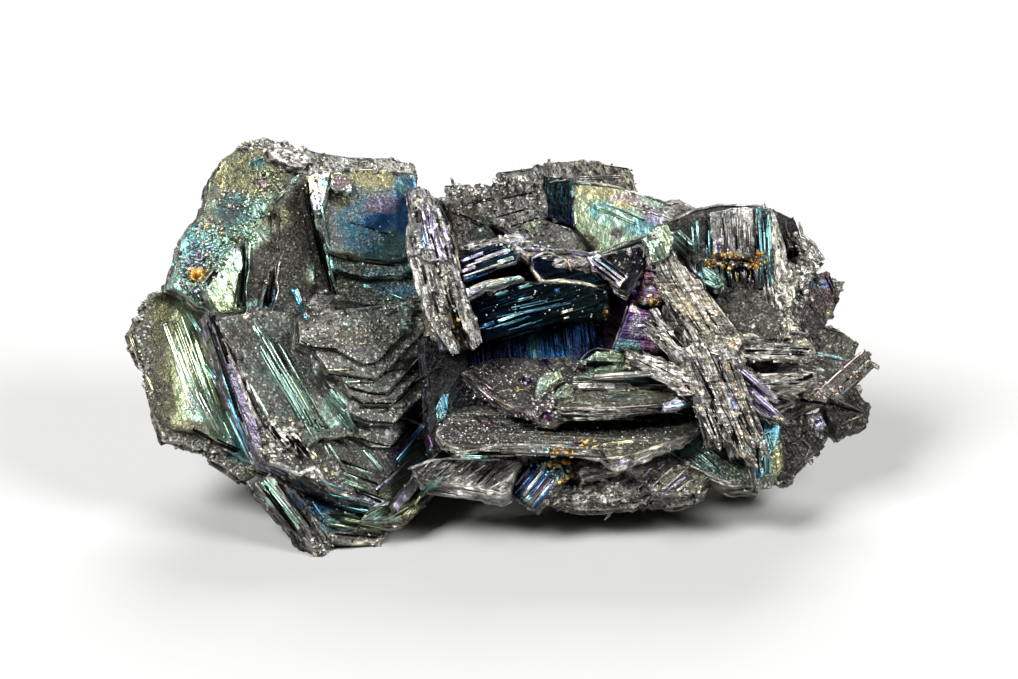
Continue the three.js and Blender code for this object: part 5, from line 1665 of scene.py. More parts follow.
@dataclass
class Hollow(Group):
    """The deep blue hollow and the dark facets on both sides of it."""

    name: str = "hollow"
    seed: int = 18
    grain_density: float = 2.0
    skins: str = """
    deep BLUE,INDIGO 1,-.1 .03 .3 BLUE .4 .2 4 grain=.1,1 lined=.5;
    maroon MAGENTA,VIOLET 1,0 .35 .18 VIOLET .4 .25 6 grain=.9,.3;
    plum MAGENTA,ROSE 1,.2 .2 .42 PINK .8 .25 6 grain=.95,.2 lined=.9;
    facet INDIGO,MAGENTA 1,-.3 .4 .4 LILAC 1 .2 5 grain=.95,.1 lined=.5;
    dome SILVER,INDIGO 1,0 .5 .09 SILVER .7 .4 4;
    knob MINT,LEAF 1,0 .1 1.2 SILVER 1.2 .5 4 2 grain=.4,.9 lined=.8;
    cleft INDIGO,CYAN -.3,1 .75 .1 INDIGO .15 .35 5 grain=.6,-.8;
    pale AZURE,CYAN 0,1 .3 .55 CYAN .6 .2 3 grain=.2,1 lined=.6;
    brown STRAW,ROSE 1,0 .8 .5 SILVER .8 .3 3 grain=.5,.9"""
    plates: str = """
    deep -.6 .05,.2,.98 4 | 46.2,32 50,31 57,30 61.5,29.5 62.5,33 62,36 57,38 47,38;
    maroon .6 -.5,0,.87 3 | 59.9,28.6 62.8,28.6 63.2,31 62,34 61.4,35.6 60.4,36 60.2,32;
    plum 3.4 -.4,.05,.91 2.4 | 64.2,26.3 65.4,26.6 65.9,28 66.4,29.4 65.8,30 65,30.6 64,30.2 63,30.4 63.2,28;
    facet 4.1 -.2,.05,.98 2.4 | 62.8,30.6 63.2,30.4 64,31 65,31.2 65.6,32.6 66.4,34 67.4,35 65,35.3 63.2,35 61.2,35.2
      61.8,33.4 62.3,32;
    dome 3.6 0,.45,.89 1.6 | 59.6,25.6 61,25.2 62.4,24.9 64,24.6 64.6,25.6 64.2,27 63.4,28.4 62.6,29.4 61.4,28.6
      60.6,27;
    knob 4.6 0,.3,.95 1.4 | 64.2,24 65.2,23 66.6,22.7 67.2,24.3 66.4,25.8 64.9,26.3;
    cleft 1.4 .3,.25,.92 2.4 | 42.4,33.6 44.6,34.6 48.4,35.2 49,40 46.6,42.8 43.4,46 42.8,40;
    pale 2.4 .3,.2,.93 .7 | 44.2,39.4 45,39.2 44.9,41 44.6,42 43.8,42.2 43.6,40.8;
    pale 2.8 .3,.3,.91 .7 | 43.3,43.8 43.9,43.2 44.9,44.2 44,44.8 43.1,45.2;
    brown 4.4 .2,.2,.96 1 | 66.2,30.4 67,30.2 68,32 68,33.2 67.2,33.6 66,31.6"""
    # the INDIGO tint with light .16 at 49,35.4 is painted shade deep in the hollow
    tints: str = """
    53.5,33.6 .8,2.6 AZURE light=.55; 58.5,33 1,1.4 BLUE light=.9; 55.5,35 1.6,1.4 BLUE light=.6; 49,35.4 2.4,1.6
    INDIGO light=.16; 65.6,34.4 1.4,1 MAGENTA .5 .25; 62.6,34.6 1.4,.6 CYAN .6 .3; 63.4,30.8 .5,.5 PINK .1 1.6;
    63.8,32.6 1,1 LILAC .6 .7"""
    growths: str = """
    LILAC 2.2 .25 3 | 63.2,32.6,64.7,32.5 64,28.9,65.7,28.9 64.2,29.6,65.4,29.6; PINK .9 1 5 .6 rib=.08,.2 |
    64.3,27.4,65.6,27.4 64.2,28.4,65.8,28.3; INDIGO 1.8 .4 4 | 63.2,29,63.6,29.6; edge .25,.3 light=1.6 lift=.12 |
    62.7,30.6 62.3,32 61.8,33.4 61.2,35.1; edge .5,.4 light=1.8 lift=.4 | 65.1,31 66.2,32.8 67.4,34.4 68,35; edge
    .25,.2 lift=.2 | 64.3,25.8 64.5,24.3 65.4,23.7 66.2,24.4; flakes 64.6,33 1.4,1.2 24 SILVER 1.2 .05,.12; flakes
    62.6,26.4 1.6,1.2 30 SILVER 1.4 .05,.12; flakes 65.4,30.6 .5,.5 12 ROSE 1 .12,.25 tilt=.8"""


@dataclass
class BackRidge(Group):
    """The ridge along the back of the middle, with one broad pale plate."""

    name: str = "back_ridge"
    seed: int = 19
    rib_density: float = 0.08
    skins: str = """
    grey SILVER,SILVER 1,0 .85 .4 SILVER .9 .9 7 lined=.1 broken=1;
    crust LILAC,SILVER 1,.3 .75 .6 SILVER .9 .8 5;
    recess CYAN,INDIGO 0,1 .3 .07 SILVER .4 .3 4 grain=0,1;
    pale LEAF,MINT 1,.15 .1 .95 SILVER 1 .3 5 grain=.9,.35 lined=.03;
    rim SILVER,STRAW 1,0 .7 .5 SILVER 1 .8 5 broken=1;
    green STRAW,OLIVE 1,0 .75 .35 SILVER .7 .4 5 grain=.1,1"""
    plates: str = """
    grey -7.6 -.1,.3,.95 4 | 44,18.2 49,18.3 49.8,16.8 53.5,16.3 55,16 55,21.5 52.5,23.8 49.5,22.8 44.6,22;
    crust -4 -.05,.4,.91 3 | 50.6,22.6 54,21.6 57.4,22.8 58.8,24.6 58,26.2 54,26 51,24.6;
    recess -6.4 -.5,.1,.86 2 | 54.4,17.4 57.4,17.6 57.6,23 54.2,21.8;
    pale -6.2 .15,.25,.96 2.6 | 57.2,17.9 61,18.2 63.5,18.9 66,19.6 69,21 67.4,23.4 63,24.4 60,25.6 58.8,24 57.4,22.4;
    rim -8.6 .05,.2,.98 2 | 54.6,16 58.5,15.7 63.4,16.4 64,18.8 62.8,20 55,20;
    green -4.2 .45,.15,.88 2 | 44.8,19.8 47.6,20.6 49.6,23.4 49,26 45.6,26.4"""
    tints: str = """
    58.8,24.4 1.2,1.2 OLIVE .6 .35; 56.7,23.9 1,.8 SILVER .6 .6; 60,19 2.6,.8 LEMON .2 1.05; 62.8,19.8 1.6,.6 PINK .2
    1.12; 58.6,21 1.2,1.4 LEAF .15 1; 60.2,21 1.3,1 CYAN .1 1; 64.2,22.6 1.8,.9 CYAN .15 .9; 62.4,20.4 .9,.6 LEMON .1
    1.1; 61.6,21.6 1.8,1 MINT .05 1.19; 66,21.4 1.6,1 LILAC .1 1.12; 64.6,20.6 .8,.6 SILVER 0 1.82; 61.8,23.2 .7,.6
    SILVER .8 .7; 53.2,22.4 .7,.6 LEAF .2 .7; 46,23 .9,3 ROSE .6 .56; 48.4,23.6 1,2 MINT .6 .21"""
    growths: str = """
    flakes 45.6,18.8 .7,.5 12 SILVER 1.8 .12,.35 1 .7; flakes 47.8,18.7 .7,.5 12 SILVER 1.8 .12,.35 1 .7; flakes 50,18
    .7,.5 12 SILVER 1.8 .12,.35 1 .7; flakes 52,17.8 .7,.5 12 SILVER 1.8 .12,.35 1 .7; flakes 64.6,20.7 .7,.5 12
    SILVER 1.8 .12,.35 1 .7; flakes 50,20.5 4.6,3 120 SILVER .975 .1,.32 1 .8; SILVER .05 .3 | 46,20.4,49.6,19.6
    50,19.6,53.4,19 49.4,21.6,53,20.6 50.8,22.6,54,21.6 45,21,48.4,22.6; SILVER .675 .3 | 54.8,18.2,57,17.6
    57.6,17.6,62.6,17.4; MINT 1.5 .3 4 | 59.4,20.4,64.2,22.4 60.6,20.2,64.8,22; edge .4,.3 light=1.3 | 57.4,18 61,18.4
    63.5,19 66,19.8 68.8,21"""


@dataclass
class Splinters(Group):
    """The splintered mass that runs down to the right, forks, and throws an arm to each side."""

    name: str = "splinters"
    seed: int = 20
    chip_density: float = 0.9
    rib_density: float = 1.8
    grain_density: float = 2.0
    skins: str = """
    mass SILVER,STRAW 1,.4 .3 2 SILVER 1.1 .8 6 grain=.5,.87 lined=.45 fibres=.8 broken=1;
    arm SILVER,STRAW 1,.4 .3 2 SILVER 1.1 .8 6 grain=.85,.5 lined=.45 fibres=.8 broken=1;
    upper SILVER,STRAW 1,.4 .3 1.35 SILVER 1.1 .8 6 grain=.42,.9 lined=.45 fibres=.8 broken=1;
    striped LILAC,SILVER 1,.4 .3 1.3 LILAC 1.2 .7 6 grain=.72,.69 lined=.8 fibres=.5 broken=1;
    behind SILVER,LILAC 0,1 .4 .45 SILVER .7 .5 6 grain=.4,.9"""
    plates: str = """
    blade behind 8 1.3 .12,-.1 | 65.6,25.4,3.4 67,29,4.8 69.8,34.6,6.2;
    blade behind 8 1.3 .12,-.1 | 67.8,26.8,4.2 70.4,31,6 74,35,6.6;
    blade behind 8 1.3 .12,-.1 | 68.8,33,6 70.2,38,7 71.6,44.4,6.2;
    blade behind 8 1.3 .12,-.1 | 70,33.6,6.4 72,39.4,7 74,45.6,5.4;
    blade behind 8 1.3 .12,-.1 | 71.2,34,6.6 73.4,39,6.9 75.6,46,5.2;
    blade behind 8 1.3 .12,-.1 | 72,34.8,6.4 75,38.4,6.4 77.6,41.4,5.6;
    blade behind 8 1.3 .12,-.1 | 63.8,31.2,3.6 66,33.6,5 69.4,36.2,6.2;
    blade behind 8 1.3 .12,-.1 | 62.8,35.4,5.2 66,37,6.4 70.6,38.8,7;
    upper 5.8 -.2,.18,.96 2 | 65.3,25.4 66.2,25.1 67,24.9 67.8,26.2 68.6,27.4 69.6,28.2 70.9,30 71.8,31.4 73,32.8
      74.4,33.8 73,36 70,36 69,34.6 68.4,33.2 67.6,31.6 66.8,30.3 66,29.4 65.7,27.6;
    mass 7.5 .1,.1,.99 1.8 | 66.8,35.2 69,34.2 73,33.8 74.6,35 74.6,36.2 73.8,37 74.4,38.6 74,40.8 73,42.4 70.4,42.2
      69.2,40.8 69,38.8 68.9,37 67.6,36.6;
    mass 6.7 .2,-.13,.97 1.3 | 69.4,39.8 70.6,39.4 71.8,41.6 72.2,43.2 71.9,44.4 71.5,44.9 70.9,43.6 70,42;
    mass 6.9 .2,-.13,.97 1.5 | 70.6,39.4 71.6,39 72.8,41.4 73.6,43 74.9,44.4 76.1,46.2 75.6,47 73.8,45.8 72.2,43.8
      71.2,42;
    mass 6.9 .15,-.13,.98 1.3 | 71.6,38.8 73.6,39.4 73.9,41.2 75,43.2 76.9,45 76.4,45.7 74.6,44.6 72.8,42.2;
    striped 6.4 .12,-.1,.98 1.3 | 73,36 74,36.2 75.4,37.4 76.6,38.4 77.9,39.6 77.5,40.1 76,40 74.6,38.9 73.4,37.6;
    striped 6.1 .12,-.1,.98 1.2 | 74.2,38.4 75.8,39.8 77.4,40.8 78.5,42 78,42.4 76,41.7 73.9,40.9;
    arm 5.9 -.25,.2,.95 1.3 | 65,30.9 65.7,31.1 66.5,32.5 67.6,34 69.4,35.4 68.6,36.2 66.8,35.4 65.9,33.4;
    arm 6.9 -.2,.12,.97 1.5 | 62.4,34.9 64,35.5 66,35.8 68,36.3 69.2,37.4 69.4,39.4 67.6,39.4 66.4,38.5 65.4,37.9
      63.8,36.9 62.4,35.9"""
    tints: str = """
    69.8,38.5 .7,.9 SILVER light=.08; 66.2,28 .5,1.8 SILVER light=.6; 69,30.6 1,1.6 STRAW light=1.6; 72,36 1.6,1.2
    SILVER light=1.7; 67,37.4 1.6,.6 SILVER light=1.7; 74,44 1,1 SILVER light=1.6"""
    growths: str = """
    SILVER .03 .3 whole=.5 | 66.6,27,68,30 67.8,28,69.6,31.8 69,30,71.4,34 70.2,31,72.6,34.4 67.6,31,69,34 70,35,71,38
    71.4,35.4,72.8,39.6 72.8,36,73.4,39.2 70.6,39.8,72,43.4 71.8,40.4,74,44.6 73,40.6,75.4,44.2 70,40.6,71.2,43.6
    73.4,37.2,76.2,39.6 74.4,39.4,77,41.4 63.4,35.9,66.4,37.4 65,36.4,68.4,38.4 66.2,32.6,68.4,35.2 68,37.6,68.9,39.2;
    SILVER 2 .5 5 .45 .1 worn=1 | 66.2,26.4,67.4,29.6 67.4,26.6,69.4,30.4 68.6,28.4,70.8,32.6 68.2,31.6,70,35
    70.6,31.4,73,34.6 69.6,34.8,72.6,35.6 70.8,36.4,72.2,40 72.6,36.8,73.6,40.4 71.2,40,73,43.4 73.2,43,75.6,46.4
    74,41.6,76.4,45.2 70.2,41,71.6,44.4 63,35.4,67.6,36.8 64.6,37,68.6,38.8 65.4,31.6,67.6,34.4 66.8,34.6,69.4,36.2;
    LILAC 1.9 .4 4 | 73.6,36.8,77,39.6 74.6,38.8,78,41.9 69.2,36,71,37.6; VIOLET 1.2 .3 | 74,37.6,76.4,39.6
    75,39.9,77.4,41.6 72.6,42,73.6,43.4; STRAW 1.7 2.6 40 .14 rib=.1,.3 worn=1 | 66,27,70.6,34 68,28,73,35; SILVER 1.9
    3.4 56 .13 rib=.1,.3 worn=1 spread=.22 | 69.6,34.6,73,43 71,35,75,45; SILVER 1.8 1.2 26 .16 rib=.1,.28 worn=1
    spread=.22 | 63,35.6,69,38 65,37,69.4,39; SILVER .04 3 16 .1 rib=.06,.16 | 66,27,70.6,34 69.6,34.6,74.6,44.6;
    flakes 71.4,37.4 2.6,6 130 SILVER 1.9 .06,.18 1 .8 .05"""


@dataclass
class SideArms(Group):
    """The broken arms that run out to the right of the splinters, with a deep gap between them."""

    name: str = "side_arms"
    seed: int = 21
    chip_density: float = 1.2
    rib_density: float = 1.4
    skins: str = """
    behind SILVER,LILAC 1,0 .5 .4 SILVER .7 .6 6 grain=1,.1;
    mass SILVER,STRAW 1,0 .3 1.05 SILVER 1.1 .8 6 grain=.95,.2 lined=.4 fibres=.8 broken=1"""
    plates: str = """
    blade behind 8 1.7 .1,0 | 72.4,34,6 76,34.2,6.2 80,34.6,4.8;
    blade behind 8 1.5 | 73,37.6,6.2 77,38.8,5.4 81.4,37.6,4;
    plan behind 40 -.3,.9,.3 1.2 | 73,5.6 76,5 79,4 79,-1 73,-2;
    mass 6 .2,.1,.97 1.5 | 73,33.8 75.2,33.6 77.4,34.2 79,34.2 79.6,33.2 81,34.4 81.4,35.6 80.4,36.3 78,35.9 75.6,36.3
      73.6,36.2;
    mass 5.6 .25,.05,.97 1.4 | 74.6,37.2 76.4,37.4 78.4,37.9 80.4,37 81.6,36.6 82,37.8 80.6,38.6 78.6,39.4 76.6,38.9
      75,38.4"""
    growths: str = """
    SILVER .03 .3 4 | 74,35,77,34.9 76.4,35.4,80.4,35.3 78.4,34.8,80.8,34.9 75.6,38,78.6,38.6 78.4,38.6,81.2,37.4
    75.4,36.7,79.8,36.8 75.6,36.5,81,36.3; SILVER 2 .4 5 .4 .08 worn=1 | 74.4,34.3,78.8,34.8 77,35.7,80.6,35.9
    75.4,37.6,79.4,38.2; SILVER 1.7 1.6 26 .16 rib=.1,.26 worn=1 | 73.8,35,80.8,35.2 75,38,81.6,37.8; flakes 78,36.4
    3.4,2.4 80 SILVER 1.7 .06,.18 1 .8 .05"""


@dataclass
class BoxCrystal(Group):
    """The box-shaped crystal at the top right, its ledge and the grey facet below it."""

    name: str = "box_crystal"
    seed: int = 22
    skins: str = """
    slate SILVER,OLIVE 1,.2 .8 .38 SILVER .8 .4 6 grain=.05,1 lined=.6;
    grey SILVER,SILVER 1,.1 .6 .7 CYAN .8 .3 4 grain=.05,1 lined=.7;
    under INDIGO,OLIVE 1,0 .3 .1 CYAN .8 .4 5 grain=.05,1 lined=.8;
    wing CYAN,MINT .6,.8 .3 .6 CYAN .8 .3 5 grain=.8,.6 lined=.6;
    facet SILVER,STRAW 1,.3 .95 .55 SILVER .8 .35 6;
    strip CYAN,MINT 0,1 .5 .55 SILVER 1.1 .3 4 grain=.05,1 lined=.4;
    rim SILVER,STRAW 1,0 .3 1.35 SILVER 1.1 .7 5 grain=.1,1 fibres=.6 broken=1"""
    plates: str = """
    slate .7 .05,.12,.99 5 | 66.6,22.2 69.4,20.9 72,20.4 76.6,20.5 77.4,24 77.4,29.2 72.6,30.6 70.8,29 67,25.4;
    grey 1.4 .02,.12,.99 .9 | 70.9,21.2 73,20.8 75.4,20.7 75.6,25.8 73.4,25.9 71.2,25.6;
    strip 1.5 .3,.1,.95 .9 | 75.6,20.8 77,20.9 77.2,24 77.2,28.8 75.8,28.8 75.5,25;
    under 1.1 .03,-.15,.99 1 | 71,26 73.6,26.3 77.1,26.9 77.1,29.1 73.2,29.3 71.6,28.8;
    wing 3 -.15,.3,.94 1.4 | 69.4,27.4 70.2,26.6 71.4,27 72.4,27.8 72.3,28.8 71.9,29.3 70.4,28.4;
    facet 3.2 -.1,.5,.86 3 | 70.8,30.2 72,29.5 74.4,29 77.2,28.9 77.6,30.6 77.9,32 77.4,33.8 74.8,34.2 72.8,33.2;
    side rim 77.6 .95,.2,.2 1.2 | 20.6,0 22,1.4 29,2.8 34,3.6 35,1.6 30,-3 21,-3;
    rim 2.2 .1,.2,.97 1.2 | 76.2,20.6 77.4,21.2 78.1,23.4 78.7,25.4 79,27.4 78.3,28.6 77.4,28.6 77.2,26 76.8,23.4;
    rim 3.4 .15,.2,.97 1.4 | 77.4,28.4 78.8,27.4 79.4,29.4 79,31 79.4,32.6 78.6,34.6 77.2,34.4 77.6,32.4 77.3,30.4"""
    tints: str = """
    72.3,24.6 .9,1.2 LILAC .2 1.5; 74.4,22 1,1.2 SILVER .5 1.3; 68,23.4 1.2,2 OLIVE .8 .25; 76.4,22.6 .7,1.6 CYAN .3
    .8; 75.4,32.4 1.6,1.2 STRAW .95 .7"""
    growths: str = """
    CYAN .945 .5 4 | 70.8,22.8,70.9,26.2 69.2,22.4,69.4,25.6 69.8,21.8,70,25.4; SILVER .04 .25 3 .6 |
    75.4,20.8,75.6,26 72.2,21,72.4,24 73.4,21.4,73.6,25.4 70.5,21.6,70.6,25.8 68.6,22.6,68.8,26; SILVER .889 1.8 9 .3
    rib=.08,.2 | 72.4,21.2,72.6,25.6 74.2,21,74.4,25.6; LILAC 1.15 1.2 6 .5 rib=.08,.18 | 72.3,23.5,72.4,25.6; CYAN
    .84 1.1 16 .2 | 76.3,21.2,76.6,28.8; CYAN .63 1.6 8 .3 rib=.08,.2 | 69.6,26,69.8,28 72.2,26.8,72.4,29
    76.4,27,76.6,29; LEMON .84 2 8 .4 rib=.06,.14 | 74,26.9,74.2,29 72.8,26.8,73,28.8; LILAC .84 2 7 .4 rib=.06,.14 |
    75.2,26.9,75.4,29 73.4,26.9,73.6,28.8; MINT .945 .5 4 | 66.8,23.5,69,25.5 67.6,23,69.4,24.8; LILAC .945 .3 3 |
    66.9,24.2,68.6,26 68.4,25.8,70,28; MINT 1.36 .3 3 lift=.1 | 70,28.1,71.9,29.1; MINT .945 .8 7 .5 |
    70,27,72.2,28.4; edge .3,.2 ORANGE 1.3 0 | 71,25.6 73.6,26.1 76,26.8 76.9,25.8; edge .25,.2 ROSE .5 0 | 70.6,25.9
    72.4,26.4 74.6,26.7; edge .35,.3 light=1.1 | 67.4,22 69.4,21 72,20.5 76.4,20.6; edge .5,.5 light=1.8 | 77,20.8
    77.8,23.2 78.4,25.4 78.6,27.6; flakes 73.8,26.2 3,.7 60 LEMON 1 .1,.3 1 .8 .1; flakes 75.1,32.7 .15,.12 2 SILVER 3
    .15,.2 1; flakes 78.2,31 .8,3.4 40 SILVER 1.8 .1,.3 1 .6"""


@dataclass
class RightRim(Group):
    """The rough outer rim on the right, and the far fins behind it."""

    name: str = "right_rim"
    seed: int = 23
    chip_density: float = 1.1
    skins: str = """
    rough SILVER,SILVER 1,0 .5 1.35 SILVER 1.1 .9 6 grain=.4,1 fibres=.6 broken=1;
    dark SILVER,STRAW 1,0 .85 .38 SILVER .8 .8 5;
    navy SILVER,INDIGO 1,0 .6 .12 SILVER .4 .4 5 grain=.1,1;
    rosy PINK,ROSE .3,-1 .6 .4 PINK .9 .7 5;
    brown ROSE,STRAW 1,.5 .8 1 SILVER .8 .4 4 grain=.9,.3;
    fin STRAW,PINK 0,1 .5 .75 PINK .8 .2 3 grain=.75,-.65 lined=.1"""
    plates: str = """
    rough 2 .2,.2,.96 2.4 | 79,26.3 80,26.8 81.4,27 81,28.4 80.9,29.4 80.2,30.6 79.2,31.4 80,32 80,33.6 79.2,34.8
      77.6,34.4 77.4,32 77.8,28.6;
    rough .8 .2,.3,.93 2 | 79.2,22.9 80.2,23.5 81,23.9 81.9,25.4 82.5,26.2 81.4,27.2 80.4,27.4 79.6,26.4 80.2,25;
    navy -1.2 .2,.2,.96 2.2 | 77.4,20.8 79.6,21.8 80.4,24 81,26 80,28 78,27.4 77.4,24;
    rosy -3.2 .35,.1,.93 2.6 | 80.6,27.5 83,26.8 83.3,28.2 84.7,28.2 84,30 82.8,32.8 80.6,34 79.6,31;
    brown -6 .1,.5,.86 1.6 | 78.6,33 83.6,32.4 86.4,34.2 85.4,36.8 83.4,39.6 78.4,42 77,38;
    fin -4.8 .55,.5,.67 .9 | 81.2,39.5 86.9,34.9 87.9,35.4 82.6,40.2;
    fin -5.2 .55,.5,.67 .7 | 83.4,39.4 87.6,36 88.3,36.5 84.4,40;
    dark -4.6 .3,.3,.91 2.4 | 82.4,38.3 85.4,38 87.4,40.8 87.1,42.2 84.4,43.9 82.9,41.4;
    dark -2.6 .2,.4,.89 4 | 78,41.6 82.6,41 83.2,43.6 81.4,45.6 79.4,47.4 77,47.6"""
    tints: str = """
    81.4,28 .8,.7 CYAN .6 .25; 82.6,28.4 .6,.4 BLUE .1 .8; 82,42.2 1,.9 LILAC .4 .8; 82,39.7 1.9,1.4 ROSE .8 2.5;
    83.4,35.8 2.6,1 STRAW .9 .9; 81,34.2 1.8,1.3 SILVER .8 .35; 84.2,28.4 .7,.5 SILVER .6 1.2; 80.1,26.5 .8,.7 SILVER
    .6 .6; 80.4,45 1.2,1 SILVER .7 .72"""
    growths: str = """
    CYAN 1.6 .3 4 | 81.4,35.3,85,36 79.2,38.9,81.8,39.4 78.7,40.8,81.4,41.3; SILVER .05 .3 | 79.4,37.6,82.4,38.2
    80,40,82.6,40.4 80.6,29.6,82,32 83,40.4,86.4,41.4 79.4,28,80.2,30 79.6,32.2,79.2,33.8; SILVER 1.3 .3 |
    83.4,39.8,86.6,41.2 84.2,42.6,86.8,41.6; edge .3,.25 PINK 1.5 0 .12 | 81.6,39.4 87,35; edge .35,.3 light=1 |
    79.2,44.4 80.4,44 81.2,44.8 80.6,45.8 79.4,45.9; edge .4,.4 light=1.3 | 80.2,23.4 81.4,24.4 82.4,26; flakes
    80,29.6 1.2,4 70 SILVER 1.8 .12,.4 1 .7; flakes 81,25.6 1.4,1.4 30 SILVER 1.6 .1,.3 1 .7; flakes 81.2,43 1.2,1 24
    SILVER 1.4 .1,.3 1 .7; flakes 79.6,25.6 .4,.8 10 ORANGE .6 .1,.25"""


@dataclass
class LowerRight(Group):
    """The glossy facets at the lower right."""

    name: str = "lower_right"
    seed: int = 24
    skins: str = """
    blue AZURE,CYAN 0,1 .1 1.4 CYAN 1.2 .3 6 grain=-.15,1 lined=.6;
    teal CYAN,OLIVE 1,.2 .5 .7 SILVER .8 .3 5 grain=.1,1 lined=.5;
    green CYAN,LEAF 1,.2 .7 .6 SILVER .8 .3 5 grain=.7,.7"""
    plates: str = """
    blue 4.8 .4,.15,.9 1.6 | 73.9,41 74.6,41.2 76.8,41.7 78,42.6 77.5,44.4 76.8,45.6 76.3,47.4 75.8,47.6 75.4,45.6
      74.8,43;
    teal 4.2 .35,.1,.93 3 | 75.2,43 77.4,42.6 78.2,44.4 78.3,46.6 77,48.8 75.4,49 75,46;
    green 2.8 .05,.5,.86 2.4 | 66.5,44.6 69,43.2 70.6,42.6 73,44.4 75.4,46.6 75.8,48.6 73,48.4 70.6,47.4 68.6,46.4"""
    tints: str = """
    75.8,43 .5,1 INDIGO .1 .06; 77.6,45.8 .6,1.6 OLIVE .3 1; 68.4,44.6 1.6,1 CYAN .35 .6; 76.2,48.4 .9,.7 SILVER .9
    1.2; 72.3,44.7 1,.8 SILVER .6 1.3"""
    growths: str = """
    SILVER 2.4 .25 | 75.8,41.3,77.8,42.5 76.6,41.4,78.2,42.2 74.2,41.6,75.6,43.6; CYAN 2.2 .4 | 73,43.1,75.3,45.3
    72.2,41.9,72.9,42.8 76.6,43.2,77.1,45; CYAN 1.1 1.1 8 | 76.3,44.5,76.5,47.4; LEMON 2 .4 3 | 77.4,41.4,78.3,42.1;
    PINK 1.8 .4 3 | 69,43,69.9,42.7; BLUE 1.4 .3 | 71.8,47,72.4,47.6 75.2,46.4,75.6,47.6; MINT .9 2 10 .2 |
    69.6,44.2,72.8,47; SILVER .04 .2 | 72.6,42.8,75.2,45.6 75.4,44.4,75.6,47.4; edge .3,.3 light=1.3 | 66.6,44.9
    68.8,46.4 70.8,47.4 73,48.3"""


